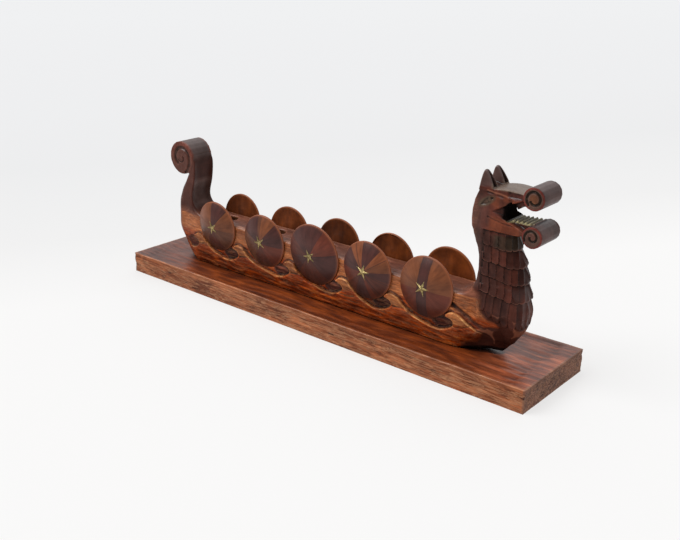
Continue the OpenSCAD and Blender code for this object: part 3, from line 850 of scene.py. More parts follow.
def head_relief(x, z):
    """Half width of the head in the side view, with the face carved in."""
    half = np.full(np.broadcast(x, z).shape, POST)
    half = half + 0.6 * ramp(x, 190, 204) * ramp(z, CHIN - 2, CHIN + 4)
    # brow ridge with a hollow under it, and the fold in front of the cheek
    brow = spline([(167.0, 154.8), (172, 153.4), (179, 152.6), (187, 151.0)], 5)
    half = half - 0.55 * ramp(line_distance(brow, x, z + 0.9), 2.0, 0.1)
    half = half - 1.1 * ramp(z, 151.5, 153) * ramp(z, 157.5, 156) * ramp(x, 182, 185) * ramp(x, 199, 195)
    fold = spline([(185.4, 156.0), (186.4, 151.6), (185.2, 147.0)], 5)
    half = half - 0.4 * ramp(line_distance(fold, x, z), 2.4, 0.2)
    wing = np.hypot((x - 192.6) / 4.6, (z - 148.8) / 3.2)
    half = half + 0.8 * ramp(wing, 1.2, 0.3)
    # eye: a leaf-shaped hollow with the ball left in it
    turn = math.radians(34)
    ex, ez = x - 166.4, z - 146.4
    eu, ev = ex * math.cos(turn) + ez * math.sin(turn), ez * math.cos(turn) - ex * math.sin(turn)
    leaf = np.abs(ev) / 2.9 + (eu / 7.4) ** 2
    ball = np.hypot(eu - 3.0, ev) / 1.9
    lid = np.clip(1 - ball**2, 0, 1) ** 0.5 * ramp(leaf, 1.2, 0.8)
    half = half - 0.95 * ramp(leaf, 1.1, 0.45) + 0.9 * lid - 0.7 * ramp(np.hypot(eu - 4.6, ev), 1.1, 0.4)
    # corner of the mouth: a wedge that deepens towards the opening
    wedge = np.abs(z - 139.2 - (x - 170) * 0.06) - (x - 169.6) * 0.42
    half = half - 3.8 * ramp(wedge, 0.5, -1.4) * ramp(x, 168, 183)
    # lip line along the lower jaw
    lip = spline([(168.0, 134.4), (176, 132.4), (186, 131.0), (197, 131.2)], 5)
    half = half - 0.45 * ramp(line_distance(lip, x, z), 1.2, 0.2)
    # the jaw stands proud of the throat
    half = half - 1.6 * ramp(z, CHIN + 2.4, CHIN + 1.0) * ramp(x, SCALES_FROM - 3, SCALES_FROM - 1)
    return half - 0.45 * cuts(x / 5.6, z / 6.6, 6)


def scale_rows(x, y, z):
    """The neck's scales: relief, height above the own row's lower edge, depth below the next, and a number.

    Each row's lower edge laps over the row below."""
    front = np.interp(z, FRONT_Z, FRONT_X)
    column = (x - SCALES_FROM + 0.9 * (POST - np.minimum(np.abs(y), POST))) / SCALE_W
    slope = 0.11 * np.clip(front - x, 0, 36)
    relief = np.zeros(np.broadcast(x, y, z).shape)
    above = relief + 9.0
    under = relief + 9.0
    shade = relief + 0.5
    for k in range(-1, len(ROWS) - 1):
        shifted = column + 0.22 * (k % 2)
        cell = np.floor(shifted)
        u = np.mod(shifted, 1)
        corner = np.abs(2 * u - 1) ** 3
        if k < 0:
            low = np.interp(cell, [0, 1, 2, 3, 5], [57, 53, 49.5, 47.5, 46]) + 4.5 * corner
        else:
            low = ROWS[k] + slope + 0.7 * corner + 0.9 * (cell_noise(cell, k, 2) - 0.5)
        high = ROWS[k + 1] + slope
        t = np.clip((z - low) / (high - low), 0, 1)
        tilt = 0.7 * (u - 0.5) + 0.4 * (cell_noise(cell, k, 9) - 0.5)
        scoop = 0.5 * (1 - (2 * u - 1) ** 2) * ramp(t, 0.0, 0.2)
        lap = (2.2 if k >= 0 else 1.1) * (1 - t) ** 0.7 * (0.55 + 0.45 * ramp(z - low, 0, 2.2))
        here = (z >= low) & (z < high + 1.2)
        relief = np.where(here, lap + tilt - scoop, relief)
        above = np.where(here, z - low, above)
        under = np.where(here, high + 0.4 - z, under)
        shade = np.where(here, cell_noise(cell, k, 12), shade)
    begin = ramp(column + 0.35 * np.mod(z / 13.2, 1), 0.0, 0.25)
    return relief * begin * ramp(z, CHIN + 2.2, CHIN + 1.2), mix(9.0, above, begin > 0.5), under, shade


def ear(side_x, side_z, y):
    """One upright ear, hollowed on its front."""
    outline = spline([(171.4, 154), (170.2, 158.4), (168.0, 162.6), (165.4, 166.6), (162.8, 169.4),
                      (160.8, 169.3), (159.5, 166.0), (158.6, 160.0), (158.2, 154.0)], 5)
    side = outline_distance(outline, side_x, side_z)[:, None, :]
    x, z = side_x[:, None, :], side_z[:, None, :]
    height = np.clip((z - 154) / 15.5, 0, 1)
    from_centre = y - (8.4 - 0.4 * height)
    body = round_slab(side, np.abs(from_centre) - mix(4.7, 1.9, height), 1.3)
    ahead = np.maximum(171.0 - 7.6 * height - x, 0)
    hollow = np.hypot(ahead * 0.8, from_centre) - mix(3.2, 0.5, height)
    return np.maximum(body, -np.maximum(hollow, 157.0 - z))


def carve_figurehead(step=0.5):
    xs, ys, zs = half_grid(head_low, head_high, step)
    x, y, z = xs[:, None, None], ys[None, :, None], zs[None, None, :]
    side_x, side_z = xs[:, None], zs[None, :]
    outline = outline_distance(head_outline(), side_x, side_z)
    half = mix(ship_half_width(side_x, side_z), head_relief(side_x, side_z), ramp(side_z, DECK, DECK + 15))
    neck = ramp(side_z, CHIN + 3, CHIN - 1)
    radius = mix(1.2, mix(3.0, 10.0, ramp(side_x, 174, 187)), neck)
    low_radius = mix(hull_radius(side_z), 9.0, ramp(side_x, BOW_JOINT + 4, BOW_JOINT + 36))
    upper = ramp(side_z, DECK - 6, DECK + 10) * ramp(side_x, BOW_JOINT, BOW_JOINT + 12)
    radius = mix(low_radius, radius, upper)
    radius = np.minimum(radius, half - 1.0)
    field = round_slab(outline[:, None, :], y - half[:, None, :], radius[:, None, :])
    field = field - scale_rows(x, y, z)[0]
    facets = ramp(side_x, 147, 158) * ramp(side_z, 60, 52) * bow_cuts(side_x, side_z)
    field = field + 1.5 * facets[:, None, :]
    # the forehead and the snout are dressed to a slight crown
    crown = ramp(side_x, 160, 172) * ramp(side_x, 204, 190) * ramp(side_z, 150, 156)
    field = field + crown[:, None, :] * 0.05 * np.maximum(y - 6, 0) ** 1.5
    field = blend_min(field, ear(side_x, side_z, y), 0.8)
    nose = roll(side_x, side_z, y, NOSE, NOSE_R, 14.0, NOSE_GROOVE, 1.5, 1.3)
    jaw = roll(side_x, side_z, y, JAW, JAW_R, 15.0, JAW_GROOVE, 1.3, 1.1)
    field = np.minimum(np.minimum(field, nose), jaw)
    field = np.maximum(field, BOW_JOINT - LAP - x)
    return surface_net(field, xs, ys, zs)


def head_tint(points):
    x, y, z = points.T
    base = ship_tint(points)
    neck = ramp(z, 44, 58) * ramp(x, 160, 168)
    base = tinted(base, FACE, 0.45 * neck * ramp(waviness(x / 3.5, z / 11, 7), -0.2, 0.6))
    _, above, under, shade = scale_rows(x, y, z)
    edges = ramp(z, CHIN, CHIN - 2) * ramp(x, 162, 166)
    base = tinted(base, (0.036, 0.012, 0.009), 0.5 * edges * neck * ramp(shade, 0.55, 0.25))
    base = tinted(base, (0.115, 0.029, 0.017), 0.45 * edges * neck * ramp(shade, 0.65, 0.9))
    top_row = edges * ramp(z, ROWS[3] - 2, ROWS[3] + 3) * ramp(x, 170, 178)
    base = tinted(base, (0.024, 0.019, 0.011), 0.75 * top_row)
    # each row's lower edge gets a painted highlight line, and the scale just under it a painted shadow
    line = edges * mix(0.25, 0.65, ramp(z, 64, 70)) * ramp(above, 1.2, 0.5) * (above >= 0.15)
    base = tinted(base, (0.200, 0.075, 0.048), line * (0.6 + 0.4 * waviness(x / 4, z / 5, 3)))
    base = tinted(base, PAINTED_SHADE_BLACK, 0.6 * edges * ramp(under, 1.4, 0.7))
    face = ramp(z, CHIN + 0.5, CHIN + 3) * ramp(np.abs(y), 10.5, 12.5)
    base = tinted(base, FACE, 0.9 * face * ramp(x, 156, 166))
    base = tinted(base, JAW_TINT, face * ramp(x, 166, 173) * ramp(x, 201, 196) * ramp(z, 137, 133))
    cheek = ramp(np.hypot((x - 181) / 13, (z - 147) / 6.5), 1.2, 0.6)
    base = tinted(base, JAW_TINT, 0.75 * face * cheek)
    base = tinted(base, (0.055, 0.018, 0.013), 0.55 * face * ramp(waviness(x / 3.4, z / 2.8, 5), 0.1, 0.7))
    # a grey painted sheen on the plain band up the back of the neck and head
    nape_sheen = ramp(x + 3 * waviness(x / 5, z / 6, 2), mix(168, 172, ramp(z, 118, 128)), 160) * ramp(z, 72, 80)
    nape_sheen = nape_sheen * ramp(x, 150, 153) * ramp(z, 157, 150) * mix(1, 0.6, ramp(z, 116, 126))
    base = tinted(base, (0.072, 0.040, 0.034), 0.75 * nape_sheen)
    # painted highlight along the brow ridge
    brow = spline([(166.5, 155.2), (171, 154.2), (178, 153.6), (184, 152.6)], 4)
    base = tinted(base, (0.34, 0.13, 0.07), 0.6 * face * ramp(line_distance(brow, x, z), 0.9, 0.3))
    nostril = ramp(x, 183.5, 185.5) * ramp(x, 199, 196) * ramp(z, 151, 152.5) * ramp(z, 158, 156.5)
    base = tinted(base, (0.075, 0.018, 0.012), face * nostril)
    eye = ramp(np.hypot((x - 166.4) / 8.2, (z - 146.4 - 0.5 * (x - 166.4)) / 4.2), 1.1, 0.7)
    base = tinted(base, (0.072, 0.050, 0.030), 0.75 * face * eye)
    ears = ramp(z, 156.5, 159) * ramp(x, 176, 173)
    base = tinted(base, (0.084, 0.048, 0.042), 0.8 * ears)
    # painted sky reflection on the top of the head
    top = ramp(z, 156.0, 157.0) * ramp(x, 168, 171) * ramp(x, 199, 196)
    base = tinted(base, (0.15, 0.100, 0.070), top)
    teeth = ramp(z, LIP_LOW - 1.6, LIP_LOW - 0.8) * ramp(z, LIP_LOW + 3, LIP_LOW + 2) * ramp(x, 182.5, 185.5)
    base = tinted(base, OLIVE, teeth * ramp(x, 206.5, 205.0) * ramp(np.abs(y), 13.4, 12.2))
    # the throat is near black, partly dark paint and partly painted shade
    throat = np.maximum(ramp(x, 196, 188) * ramp(z, LIP_LOW, LIP_LOW + 3), ramp(x, 187, 184) * ramp(z, 132, 134))
    throat = throat * ramp(x, 178, 180.5) * ramp(z, 150.5, 148)
    base = tinted(base, PAINTED_SHADE_BLACK, throat * ramp(np.abs(y), 13.2, 12.0))
    ends = ((NOSE, NOSE_R, NOSE_GROOVE, (0.140, 0.050, 0.022)),
            (JAW, JAW_R, JAW_GROOVE, (0.105, 0.042, 0.030)))
    for centre, radius, path, heart in ends:
        u, v = x - centre[0], z - centre[1]
        r = np.hypot(u, v)
        end = ramp(r, radius + 0.6, radius) * ramp(np.abs(y), 11.0, 12.0)
        base = tinted(base, (0.094, 0.046, 0.033), end)
        base = tinted(base, heart, end * ramp(r, 4.4, 2.6))
        # painted shade in the spiral groove
        base = tinted(base, (0.046, 0.025, 0.015), end * ramp(groove_gap(u, v, path), 1.5, 0.6))
        base = tinted(base, (0.115, 0.020, 0.014), end * ramp(np.abs(r - radius + 0.7), 0.9, 0.4))
        # painted grey reflection on the round of the barrel
        barrel = ramp(np.abs(r - radius), 0.8, 0.4) * ramp(np.abs(y), 14.2, 13.4) * (u > -radius * 0.6)
        base = tinted(base, (0.085, 0.042, 0.036), barrel * (1 - ramp(np.abs(y), 13.0, 13.8)))
    return base


# ---------------------------------------------------------------- stern post

TAIL = (stern_low[0] + 16.0, stern_high[2] - 15.6)
TAIL_R = 16.5


def stern_outline():
    tx, tz = TAIL
    front = spline([(tx + TAIL_R - 0.4, tz + 4), (tx + TAIL_R + 1.8, tz - 3), (-169.8, 110), (-171.8, 98),
                    (-174.8, 88), (-175.4, 81), (-172.8, 74.5), (-167.2, 70.2), (STERN_JOINT, DECK)], 5)
    back = spline([(-181, SEAT), (-189.5, 22.6), (-194.6, 30), (-197.6, 41), (-198.8, 53), (-198.4, 66),
                   (-195.6, 77), (-190.5, 89), (-184.6, 99), (-180.2, 106.6)], 5)
    return np.vstack([front, [(STERN_JOINT + 4, DECK), (STERN_JOINT + 4, SEAT)], back, [(tx, tz)]])


def carve_stern(step=0.5):
    xs, ys, zs = half_grid(stern_low, stern_high, step)
    x, y, z = xs[:, None, None], ys[None, :, None], zs[None, None, :]
    side_x, side_z = xs[:, None], zs[None, :]
    outline = outline_distance(stern_outline(), side_x, side_z)
    post = POST - 0.3 * cuts(side_x / 9, side_z / 18, 9)
    half = mix(ship_half_width(side_x, side_z), post, ramp(side_z, DECK, DECK + 15))
    middle = np.interp(side_z, [70, 80, 90, 100, 112], [-186, -185.5, -182, -178, -172])
    radius = mix(3.8, 1.2, ramp(side_x - middle, -2, 2))
    low_radius = mix(hull_radius(side_z), 9.0, ramp(side_x, STERN_JOINT - 4, STERN_JOINT - 34))
    upper = ramp(side_z, DECK - 6, DECK + 14) * ramp(side_x, STERN_JOINT, STERN_JOINT - 8)
    radius = mix(low_radius, radius, upper)
    radius = np.minimum(radius, half - 1.0)
    # the post is hollowed on its front from edge to edge, deepest where it rises from the deck
    height = mix(0.6, 1, ramp(side_z, TAIL[1] - 4, DECK + 22)) * ramp(side_z, DECK + 2, DECK + 12)
    height = height * ramp(side_z, TAIL[1] + 4, TAIL[1] - 8) * ramp(side_x - middle, -1, 1)
    flute = 2.6 * np.maximum(1 - (y / (POST - 1.6)) ** 4, 0) * height[:, None, :]
    body = round_slab(outline[:, None, :] + flute, y - half[:, None, :], radius[:, None, :])
    tail = roll(side_x, side_z, y, TAIL, TAIL_R, POST, TAIL_GROOVE, 2.6, 1.4, 19)
    u, v = side_x - TAIL[0], side_z - TAIL[1]
    curl = 1.0 * ramp(groove_gap(u, v, TAIL_CURL), 1.3, 0.3)
    carved = POST - 1.4 * ramp(groove_gap(u, v, TAIL_GROOVE), 2.6, 0.8) - curl
    above_groove = y - carved[:, None, :]
    body = np.where((np.hypot(u, v) < TAIL_R)[:, None, :], np.maximum(body, above_groove), body)
    field = blend_min(body, np.maximum(tail, above_groove), 0.5)
    field = np.maximum(field, x - STERN_JOINT - LAP)
    return surface_net(field, xs, ys, zs)


def stern_tint(points):
    x, y, z = points.T
    base = ship_tint(points)
    u, v = x - TAIL[0], z - TAIL[1]
    r = np.hypot(u, v)
    end = ramp(r, TAIL_R + 0.8, TAIL_R) * ramp(np.abs(y), 9.8, 11.0)
    base = tinted(base, (0.110, 0.040, 0.028), end)
    rim = end * ramp(r, 11.5, 13) * ramp(v, -6, 6)
    base = tinted(base, (0.140, 0.040, 0.026), rim)
    # painted shade in the tail's spiral groove
    base = tinted(base, (0.082, 0.034, 0.024), end * ramp(groove_gap(u, v, TAIL_GROOVE), 1.9, 0.9))
    side = ramp(np.abs(y), 12.0, 13.0) * ramp(z, 74, 82) * ramp(r, TAIL_R - 1, TAIL_R + 1)
    base = tinted(base, (0.100, 0.034, 0.024), 0.7 * side)
    # painted reflection on the post's front face, and painted shade in its hollow
    front = ramp(x, -182, -178) * ramp(z, 70, 76) * ramp(z, 104, 96) * ramp(np.abs(y), 12.4, 11.4)
    scoop = front * ramp(np.abs(z - 85), 14, 4)
    base = tinted(base, (0.150, 0.082, 0.068), 0.85 * front)
    base = tinted(base, (0.036, 0.018, 0.015), 0.35 * scoop)
    # painted grey reflection on the barrel's upper front
    barrel = ramp(np.abs(r - TAIL_R), 1.6, 0.8) * ramp(x, TAIL[0] - 6, TAIL[0]) * ramp(v, -4, 4) * (1 - end)
    base = tinted(base, (0.085, 0.050, 0.044), 0.8 * barrel)
    # painted grey reflection along the edge that faces astern
    aft_edge_reflection = ramp(outline_distance(stern_outline(), x, z), -4.4, -2.6) * ramp(x, -182, -186) * ramp(z, 44, 54)
    aft_edge_reflection = aft_edge_reflection * ramp(np.abs(y), 9, 11.5)
    return tinted(base, (0.150, 0.112, 0.096), 0.4 * aft_edge_reflection * ramp(z, 104, 98))


def carve_ship():
    """The ship's three carved pieces; only the deck and the tops of the head and the tail are polished."""
    for name, node, carve, tint, joints, gap_low, gap_high in (
            ("hull_carving", "hull", carve_hull, ship_tint, (BOW_JOINT, STERN_JOINT), 190, 200),
            ("figurehead_carving", "figurehead", carve_figurehead, head_tint, (BOW_JOINT,), DECK + 12, CHIN),
            ("stern_carving", "stern_post", carve_stern, stern_tint, (STERN_JOINT,), DECK, TAIL[1])):
        points, quads = carve()
        z = points[:, 2]
        gap = ramp(z, gap_low, gap_low + 2) * ramp(z, gap_high + 2, gap_high)
        polished = ramp(z, DECK - 6, DECK - 2) * (1 - gap)
        polished = polished * np.maximum(ramp(np.abs(points[:, 1]), 13.0, 11.8), ramp(z, DECK + 2, DECK))
        finish_carving(name, points, quads, node, tint(points), ship_grain(points), ship_figure(points),
                       [SHIP_WOOD], joints, sheen=0.2 * ramp(z, SEAT - 6, CREST_TOP), polished=polished)


carve_ship()

# ---------------------------------------------------------------- plinth

RIM_END = 11.0
RIM_SIDE = 4.0
PLINTH_STEP = 1.0
EDGE_LEVELS = 20


def gouge_marks(x, y):
    """Long gouge strokes along the board, from 0 on their ridges to 1 in their hollows."""
    return cuts(x / 40 + 0.35 * waviness(x / 30, y / 12, 4), y / 6.4 + 0.9 * waviness(x / 45, y / 30, 1), 13)


def plinth_top(x, y):
    """Height of the gouged top: long shallow flutes in a tray with a plain rim."""
    end = plinth_high[0] - np.abs(x)
    side = plinth_high[1] - np.abs(y)
    ragged = RIM_END + 3 * waviness(y / 9, x / 200, 3)
    inside = ramp(end, ragged - 1, ragged + 7) * ramp(side, RIM_SIDE - 1.5, RIM_SIDE + 1.5)
    near_end = ramp(end, 90, 30)
    depth = (plinth_high[2] - SEAT) * 0.5 + mix(0.5, 1.05, near_end) * gouge_marks(x, y)
    under_ship = ramp(np.abs(y), 21, 15) * ramp(np.abs(x), 205, 190)
    depth = mix(depth, plinth_high[2] - SEAT + 0.1, under_ship)
    return plinth_high[2] - inside * depth - 0.18 * cuts(x / 14, y / 7, 2)


def carve_plinth():
    """One closed skin: gouged top, chiselled edges and a flat underside."""
    lx, ly, _ = plinth_high
    xs = np.linspace(-lx, lx, int(2 * lx / PLINTH_STEP) + 1)
    ys = np.linspace(-ly, ly, int(2 * ly / PLINTH_STEP) + 1)
    nx, ny = len(xs), len(ys)
    top_x, top_y = np.meshgrid(xs, ys, indexing="ij")
    heights = plinth_top(top_x, top_y)
    # the ring walks round the top's edge: starboard, bow, port, stern
    ring = [(i, 0) for i in range(nx)] + [(nx - 1, j) for j in range(1, ny)]
    ring += [(i, ny - 1) for i in range(nx - 2, -1, -1)] + [(0, j) for j in range(ny - 2, 0, -1)]
    ring = np.array(ring)
    edge_x, edge_y = xs[ring[:, 0]], ys[ring[:, 1]]
    edge_z = heights[ring[:, 0], ring[:, 1]]
    out_x = np.where(np.abs(edge_x) >= lx - 1e-6, np.sign(edge_x), 0)
    out_y = np.where(np.abs(edge_y) >= ly - 1e-6, np.sign(edge_y), 0)
    along = np.where(out_y != 0, edge_x, 1000 + edge_y)
    walls = []
    for level in np.linspace(0, 1, EDGE_LEVELS + 1)[1:]:
        z = edge_z * (1 - level)
        cut = 0.55 * (1 - cuts(along / 26 + 0.2 * np.sin(along / 17), z / 6.5 + 0.02 * along, 7))
        cut = cut * min(level * 8, 1) * min((1 - level) * 8 + 0.3, 1) + 0.5 * max(0, 1 - level * 14)
        walls.append(np.stack([edge_x - out_x * cut, edge_y - out_y * cut, z], axis=1))
    top = np.stack([top_x, top_y, heights], axis=-1).reshape(-1, 3)
    start = (np.arange(nx - 1)[:, None] * ny + np.arange(ny - 1)[None, :]).ravel()
    quads = [np.stack([start, start + ny, start + ny + 1, start + 1], axis=1)]
    count = len(ring)
    loops = [ring[:, 0] * ny + ring[:, 1]]
    loops += [nx * ny + k * count + np.arange(count) for k in range(EDGE_LEVELS)]
    for upper, lower in zip(loops[:-1], loops[1:]):
        quads.append(np.stack([upper, lower, np.roll(lower, -1), np.roll(upper, -1)], axis=1))
    # the underside: a grid inside the last ring, which is its border
    bottom = np.full((nx, ny), -1)
    bottom[ring[:, 0], ring[:, 1]] = loops[-1]
    inner = np.stack([top_x[1:-1, 1:-1], top_y[1:-1, 1:-1], 0 * top_x[1:-1, 1:-1]], axis=-1).reshape(-1, 3)
    bottom[1:-1, 1:-1] = nx * ny + EDGE_LEVELS * count + np.arange(len(inner)).reshape(nx - 2, ny - 2)
    around = [bottom[:-1, :-1], bottom[:-1, 1:], bottom[1:, 1:], bottom[1:, :-1]]
    quads.append(np.stack(around, axis=-1).reshape(-1, 4))
    return np.vstack([top] + walls + [inner]), np.concatenate(quads), len(quads[0])


FOOT_HALF = ((-188, 1), (-185, 6), (-178, 11), (-165, 14), (-148, 15), (111, 15.3), (134, 15), (147, 14),
             (158, 12), (167, 9), (176, 5), (183, 1))
FOOT = np.array(FOOT_HALF + tuple((x, -y) for x, y in FOOT_HALF[::-1]), float)


KNOTS = ((-175, 11.5, 1.3), (-150, 7, 1.0), (40, 8.5, 1.5), (54, 5.5, 0.9), (148, 9.5, 1.3))


def plinth_tint(points):
    x, y, z = points.T
    base = np.tile((0.225, 0.056, 0.024), (len(x), 1))
    top = ramp(z, 16, 18)
    base = tinted(base, (0.370, 0.092, 0.034), top * ramp(x, 150, 200))
    base = tinted(base, (0.165, 0.042, 0.020), top * ramp(x, -150, -200))
    base = tinted(base, (0.262, 0.054, 0.010), top * ramp(np.abs(x), 205, 150))
    # painted shade in the gouges' hollows
    base = tinted(base, (0.085, 0.020, 0.009), 0.6 * top * ramp(gouge_marks(x, y), 0.45, 0.95))
    # painted contact shadow in the corner along the ship's foot
    foot = outline_distance(FOOT, x, y)
    base = tinted(base, PAINTED_SHADE_BLACK, 0.85 * top * ramp(foot, 1.8, 0.2))
    side = ramp(np.abs(y), plinth_high[1] - 2.5, plinth_high[1] - 1.2)
    base = tinted(base, (0.272, 0.079, 0.028), side)
    end = ramp(np.abs(x), plinth_high[0] - 2.0, plinth_high[0] - 0.9)
    base = tinted(base, (0.155, 0.060, 0.036), end)
    for knot_x, knot_z, size in KNOTS:
        knot = np.hypot((x - knot_x) / (2.6 * size), (z - knot_z - 0.1 * (x - knot_x)) / size)
        base = tinted(base, (0.045, 0.015, 0.010), 0.75 * side * (y < 0) * ramp(knot, 1.2, 0.5))
    arris = ramp(z, plinth_high[2] - 0.9, plinth_high[2] - 0.2) * np.maximum(side, end)
    return tinted(base, (0.460, 0.190, 0.085), 0.6 * arris * (0.5 + 0.5 * waviness(x / 9, y / 9, 3)))


def make_plinth():
    points, quads, top_faces = carve_plinth()
    grain = points * (GRAIN_LONG * 0.8, GRAIN_ACROSS, GRAIN_ACROSS * 1.2)
    figure = mix(0.9, 0.55, ramp(points[:, 2], 16, 18))
    piece = finish_carving("plinth_board", points, quads, "plinth", plinth_tint(points), grain, figure,
                           [TOP_WOOD, EDGE_WOOD], spread=0.7)
    slot = np.ones(len(quads), np.int32)
    slot[:top_faces] = 0
    piece.data.polygons.foreach_set("material_index", slot)


make_plinth()

# ---------------------------------------------------------------- shields and studs

DISH_AT = 16.4                # the shield's back is dished in a ring at this radius
DISH_HALF = 7.4
SPOKES = 96


def shield_profile(radius):
    """Half section from the dome over the rim to the middle of the back, and where the back begins."""
    dome_r = radius - 0.4
    sphere = (dome_r**2 + DOME**2) / (2 * DOME)
    profile = []
    for r in np.linspace(0.02, radius - 1.1, 20):
        profile.append((r, min(DOME - sphere + math.sqrt(sphere**2 - r * r), DOME - DOME_FLAT)))
    profile += [(radius - 0.35, 0.15), (radius, -0.35), (radius, -1.1), (radius - 0.35, -RIM + 0.1)]
    back_from = len(profile) - 1
    profile.append((radius - 0.9, -RIM + 0.02))
    for r in np.linspace(DISH_AT + DISH_HALF, DISH_AT - DISH_HALF, 12):
        profile.append((r, -RIM + max(0.0, 1 - ((r - DISH_AT) / DISH_HALF) ** 2)))
    return profile + [(4.0, -RIM), (0.02, -RIM)], back_from


BACK_SHADES = {("port", 2): 1.12, ("port", 3): 0.66, ("port", 5): 1.35}     # the stain took unevenly


def make_shield(side, number, front):
    centre, axes = disc_centre(side, number)
    radius = disc_radius(side, number)
    profile, back_from = shield_profile(radius)
    angle = np.arange(SPOKES) * 2 * math.pi / SPOKES
    rings = [[(r * math.sin(a), r * math.cos(a), h) for a in angle] for r, h in profile]
    local = np.array(rings).reshape(-1, 3)
    from_middle = np.hypot(local[:, 0], local[:, 1])
    wobble = 0.11 * np.sin(3 * np.arctan2(local[:, 0], local[:, 1]) + number) * (from_middle / radius) ** 3
    local[:, 2] += np.where(local[:, 2] > -0.2, wobble, 0)
    shade = BACK_SHADES.get((side, number), 1.0)
    spoke = np.arange(SPOKES)
    faces = []
    for k in range(len(profile) - 1):
        a, b = k * SPOKES + spoke, k * SPOKES + (spoke + 1) % SPOKES
        faces.append(np.stack([a, a + SPOKES, b + SPOKES, b], axis=1))
    faces = np.concatenate(faces)
    # the rim's edge is lighter, partly wear and partly a painted highlight, most of all at the top and towards
    # the bow
    place = np.arctan2(local[:, 0] * (1 if side == "starboard" else -1), local[:, 1])
    rim_wear_and_highlight = ramp(np.cos(place - 0.8), -0.9, 0.6)
    wear_and_painted_light = 0.8 * np.clip((from_middle - radius + 1.3) / 1.0, 0, 1) * rim_wear_and_highlight
    piece = make_mesh(f"shield_{side}_{number}_disc", centre + local @ axes, faces, [front, BACK_WOOD],
                      {"wear_and_painted_light": wear_and_painted_light, "disc": local, "shade": np.full((len(local), 3), shade)})
    slot = np.zeros(len(faces), np.int32)
    slot[back_from * SPOKES:] = 1
    piece.data.polygons.foreach_set("material_index", slot)
    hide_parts(f"shield_{side}_{number}")


STAR_R = 7.4
STAR_WAIST = 0.31             # inner corners' radius as a part of the points' radius
STAR_H = 1.4
STAR_BASE = 0.35
NAIL_R = 0.7
NAIL_L = 13.5


def make_stud(side, number, turn):
    """Ridged five-pointed brass star on a round nail through the shield."""
    centre, axes = disc_centre(side, number)
    rim = []
    for k in range(10):
        r = STAR_R if k % 2 == 0 else STAR_R * STAR_WAIST
        a = math.radians(36 * k + turn)
        rim.append((r * math.sin(a), r * math.cos(a)))
    nail = [(NAIL_R * math.sin(k * math.pi / 5), NAIL_R * math.cos(k * math.pi / 5)) for k in range(10)]
    droop = [0.9 if k % 2 == 0 else 0.0 for k in range(10)]
    local = [(x, y, STAR_BASE - 0.45 * d) for (x, y), d in zip(rim, droop)]
    local += [(x, y, -0.45 * d) for (x, y), d in zip(rim, droop)]
    local += [(x, y, 0) for x, y in nail] + [(x, y, -NAIL_L) for x, y in nail]
    local += [(0, 0, STAR_H), (0, 0, -NAIL_L)]
    tris = []
    for k in range(10):
        m = (k + 1) % 10
        tris += [(40, m, k)]
        for upper, lower in ((0, 10), (10, 20), (20, 30)):
            tris += [(upper + k, upper + m, lower + m), (upper + k, lower + m, lower + k)]
        tris += [(41, 30 + k, 30 + m)]
    world = centre + (np.array(local) + (0, 0, DOME - DOME_FLAT)) @ axes
    piece = make_mesh(f"stud_{side}_{number}_star", world, tris, [BRASS], smooth=False)
    bevel = piece.modifiers.new("soft", "BEVEL")
    bevel.width = 0.00012
    bevel.segments = 2
    bevel.limit_method = "ANGLE"
    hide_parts(f"stud_{side}_{number}")


PATTERNS = {
    1: [(0, "dark"), (40, "brown"), (95, "umber"), (150, "deep"), (212, "umber"), (262, "brown"),
        (350, "dark")],
    2: [(0, "brown"), (38, "dark"), (95, "red"), (150, "deep"), (205, "umber"), (250, "umber"), (288, "dark"),
        (350, "umber")],
    3: [(0, "dark"), (28, "red"), (78, "dark"), (140, "deep"), (220, "dark"), (262, "deep"), (300, "dark")],
    4: [(0, "dark"), (34, "light"), (57, "brown"), (82, "dark"), (105, "deep"), (150, "red"), (165, "dark"),
        (205, "deep"), (230, "red"), (270, "dark"), (315, "light"), (351, "dark")],
    5: [(0, "brown"), (95, "red"), (180, "red"), (262, "brown")],
}
SPLITS = {1: (40,), 2: (0.6,), 3: (78,), 4: (56, 316, 332, 110, 140), 5: ()}
TURNS = (-22, -22, -22, 15, 18)        # degrees that each hand-set star is turned

FRONTS = {k: shield_front(f"shield_front_{k}", PATTERNS[k], SPLITS[k], 4.6 if k == 5 else None)
          for k in PATTERNS}
for side_name in SIDES:
    for number in NUMBERS:
        pattern = number if side_name == "starboard" else 6 - number
        make_shield(side_name, number, FRONTS[pattern])
        make_stud(side_name, number, TURNS[pattern - 1])

# ---------------------------------------------------------------- carried-over CAD nodes

KEPT = {BEECH: ("bow_dowel_lower", "bow_dowel_upper", "stern_dowel_lower", "stern_dowel_upper"),
        STEEL: ("base_screw_stern", "base_screw_bow")}
for material, kept_nodes in KEPT.items():
    for node in kept_nodes:
        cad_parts[node].data.materials.clear()
        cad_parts[node].data.materials.append(material)

# ---------------------------------------------------------------- stage, light and camera

FLOOR_HALF = 6.0              # metres
FLOOR_ALBEDO = 0.24


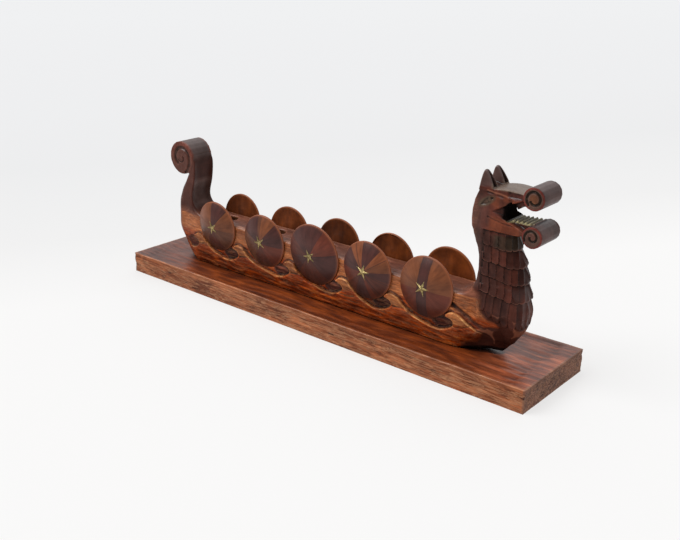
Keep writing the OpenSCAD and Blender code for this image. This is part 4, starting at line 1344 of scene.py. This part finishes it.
def stage():
    """A pale floor that shines by itself, so that the object casts only a faint shadow."""
    floor = bpy.data.meshes.new("floor")
    size = FLOOR_HALF
    square = [(-size, -size, 0), (size, -size, 0), (size, size, 0), (-size, size, 0)]
    floor.from_pydata(square, [], [(0, 1, 2, 3)])
    n = Nodes("pale_floor")
    parts = n.tree.nodes.new("ShaderNodeSeparateXYZ")
    n.link(n.position, parts.inputs[0])
    ahead = n.math("ADD", n.math("MULTIPLY", parts.outputs[0], -0.873),
                   n.math("MULTIPLY", parts.outputs[1], 0.573))
    glow = n.ramp(n.math("DIVIDE", ahead, 3.0), [(0.03, (0.695, 0.689, 0.684)), (0.10, (0.625, 0.622, 0.620)),
                                                 (0.22, (0.590, 0.591, 0.596)), (0.37, (0.598, 0.600, 0.608)),
                                                 (1.0, (0.612, 0.616, 0.624))])
    n.link(glow, n.shader.inputs["Emission Color"])
    n.shader.inputs["Emission Strength"].default_value = 1.0
    n.shader.inputs["Base Color"].default_value = (FLOOR_ALBEDO, FLOOR_ALBEDO, FLOOR_ALBEDO, 1)
    n.shader.inputs["Roughness"].default_value = 0.9
    n.shader.inputs["Specular IOR Level"].default_value = 0.0
    floor.materials.append(n.material)
    thing = bpy.data.objects.new("floor", floor)
    bpy.context.scene.collection.objects.link(thing)


def studio():
    """A white room, bright behind and above the object, and one wide soft lamp from the left front."""
    world = bpy.data.worlds.new("studio")
    world.use_nodes = True
    tree = world.node_tree
    direction = tree.nodes.new("ShaderNodeTexCoord").outputs["Generated"]
    dot = tree.nodes.new("ShaderNodeVectorMath")
    dot.operation = "DOT_PRODUCT"
    dot.inputs[1].default_value = Vector((-0.25, 0.55, 0.8)).normalized()
    tree.links.new(direction, dot.inputs[0])
    place = tree.nodes.new("ShaderNodeMath")
    place.operation = "MULTIPLY_ADD"
    place.inputs[1].default_value = 0.5
    place.inputs[2].default_value = 0.5
    tree.links.new(dot.outputs["Value"], place.inputs[0])
    light = tree.nodes.new("ShaderNodeValToRGB")
    stops = [(0.0, 0.15), (0.5, 0.42), (0.85, 0.52), (0.93, 0.95), (1.0, 1.3)]
    while len(light.color_ramp.elements) < len(stops):
        light.color_ramp.elements.new(0.5)
    for element, (where, value) in zip(light.color_ramp.elements, stops):
        element.position = where
        element.color = (value * 0.98, value * 0.99, value, 1)
    tree.links.new(place.outputs[0], light.inputs[0])
    tree.links.new(light.outputs[0], tree.nodes["Background"].inputs["Color"])
    bpy.context.scene.world = world
    data = bpy.data.lights.new("soft_lamp", "SUN")
    data.energy = 1.9
    data.angle = math.radians(40)
    lamp = bpy.data.objects.new("soft_lamp", data)
    lamp.rotation_euler = Vector((0.6, 0.6, -0.9)).to_track_quat("-Z", "Y").to_euler()
    bpy.context.scene.collection.objects.link(lamp)


def camera():
    """A three-quarter view from the bow's starboard side, slightly above."""
    data = bpy.data.cameras.new("camera")
    data.sensor_width = 36.0
    data.lens = 48.4
    view = bpy.data.objects.new("camera", data)
    pitch, yaw, roll_angle = math.radians(20.82), math.radians(-40.03), math.radians(0.484)
    forward = Vector((math.sin(yaw) * math.cos(pitch), math.cos(yaw) * math.cos(pitch), -math.sin(pitch)))
    right = forward.cross(Vector((0, 0, 1))).normalized()
    up = right.cross(forward)
    tilted_right = right * math.cos(roll_angle) + up * math.sin(roll_angle)
    tilted_up = up * math.cos(roll_angle) - right * math.sin(roll_angle)
    turn = Matrix((tilted_right, tilted_up, -forward)).transposed().to_4x4()
    view.matrix_world = Matrix.Translation((0.5116, -0.5970, 0.3437)) @ turn
    bpy.context.scene.collection.objects.link(view)
    bpy.context.scene.camera = view


stage()
studio()
camera()
bpy.context.scene.view_settings.view_transform = "Standard"
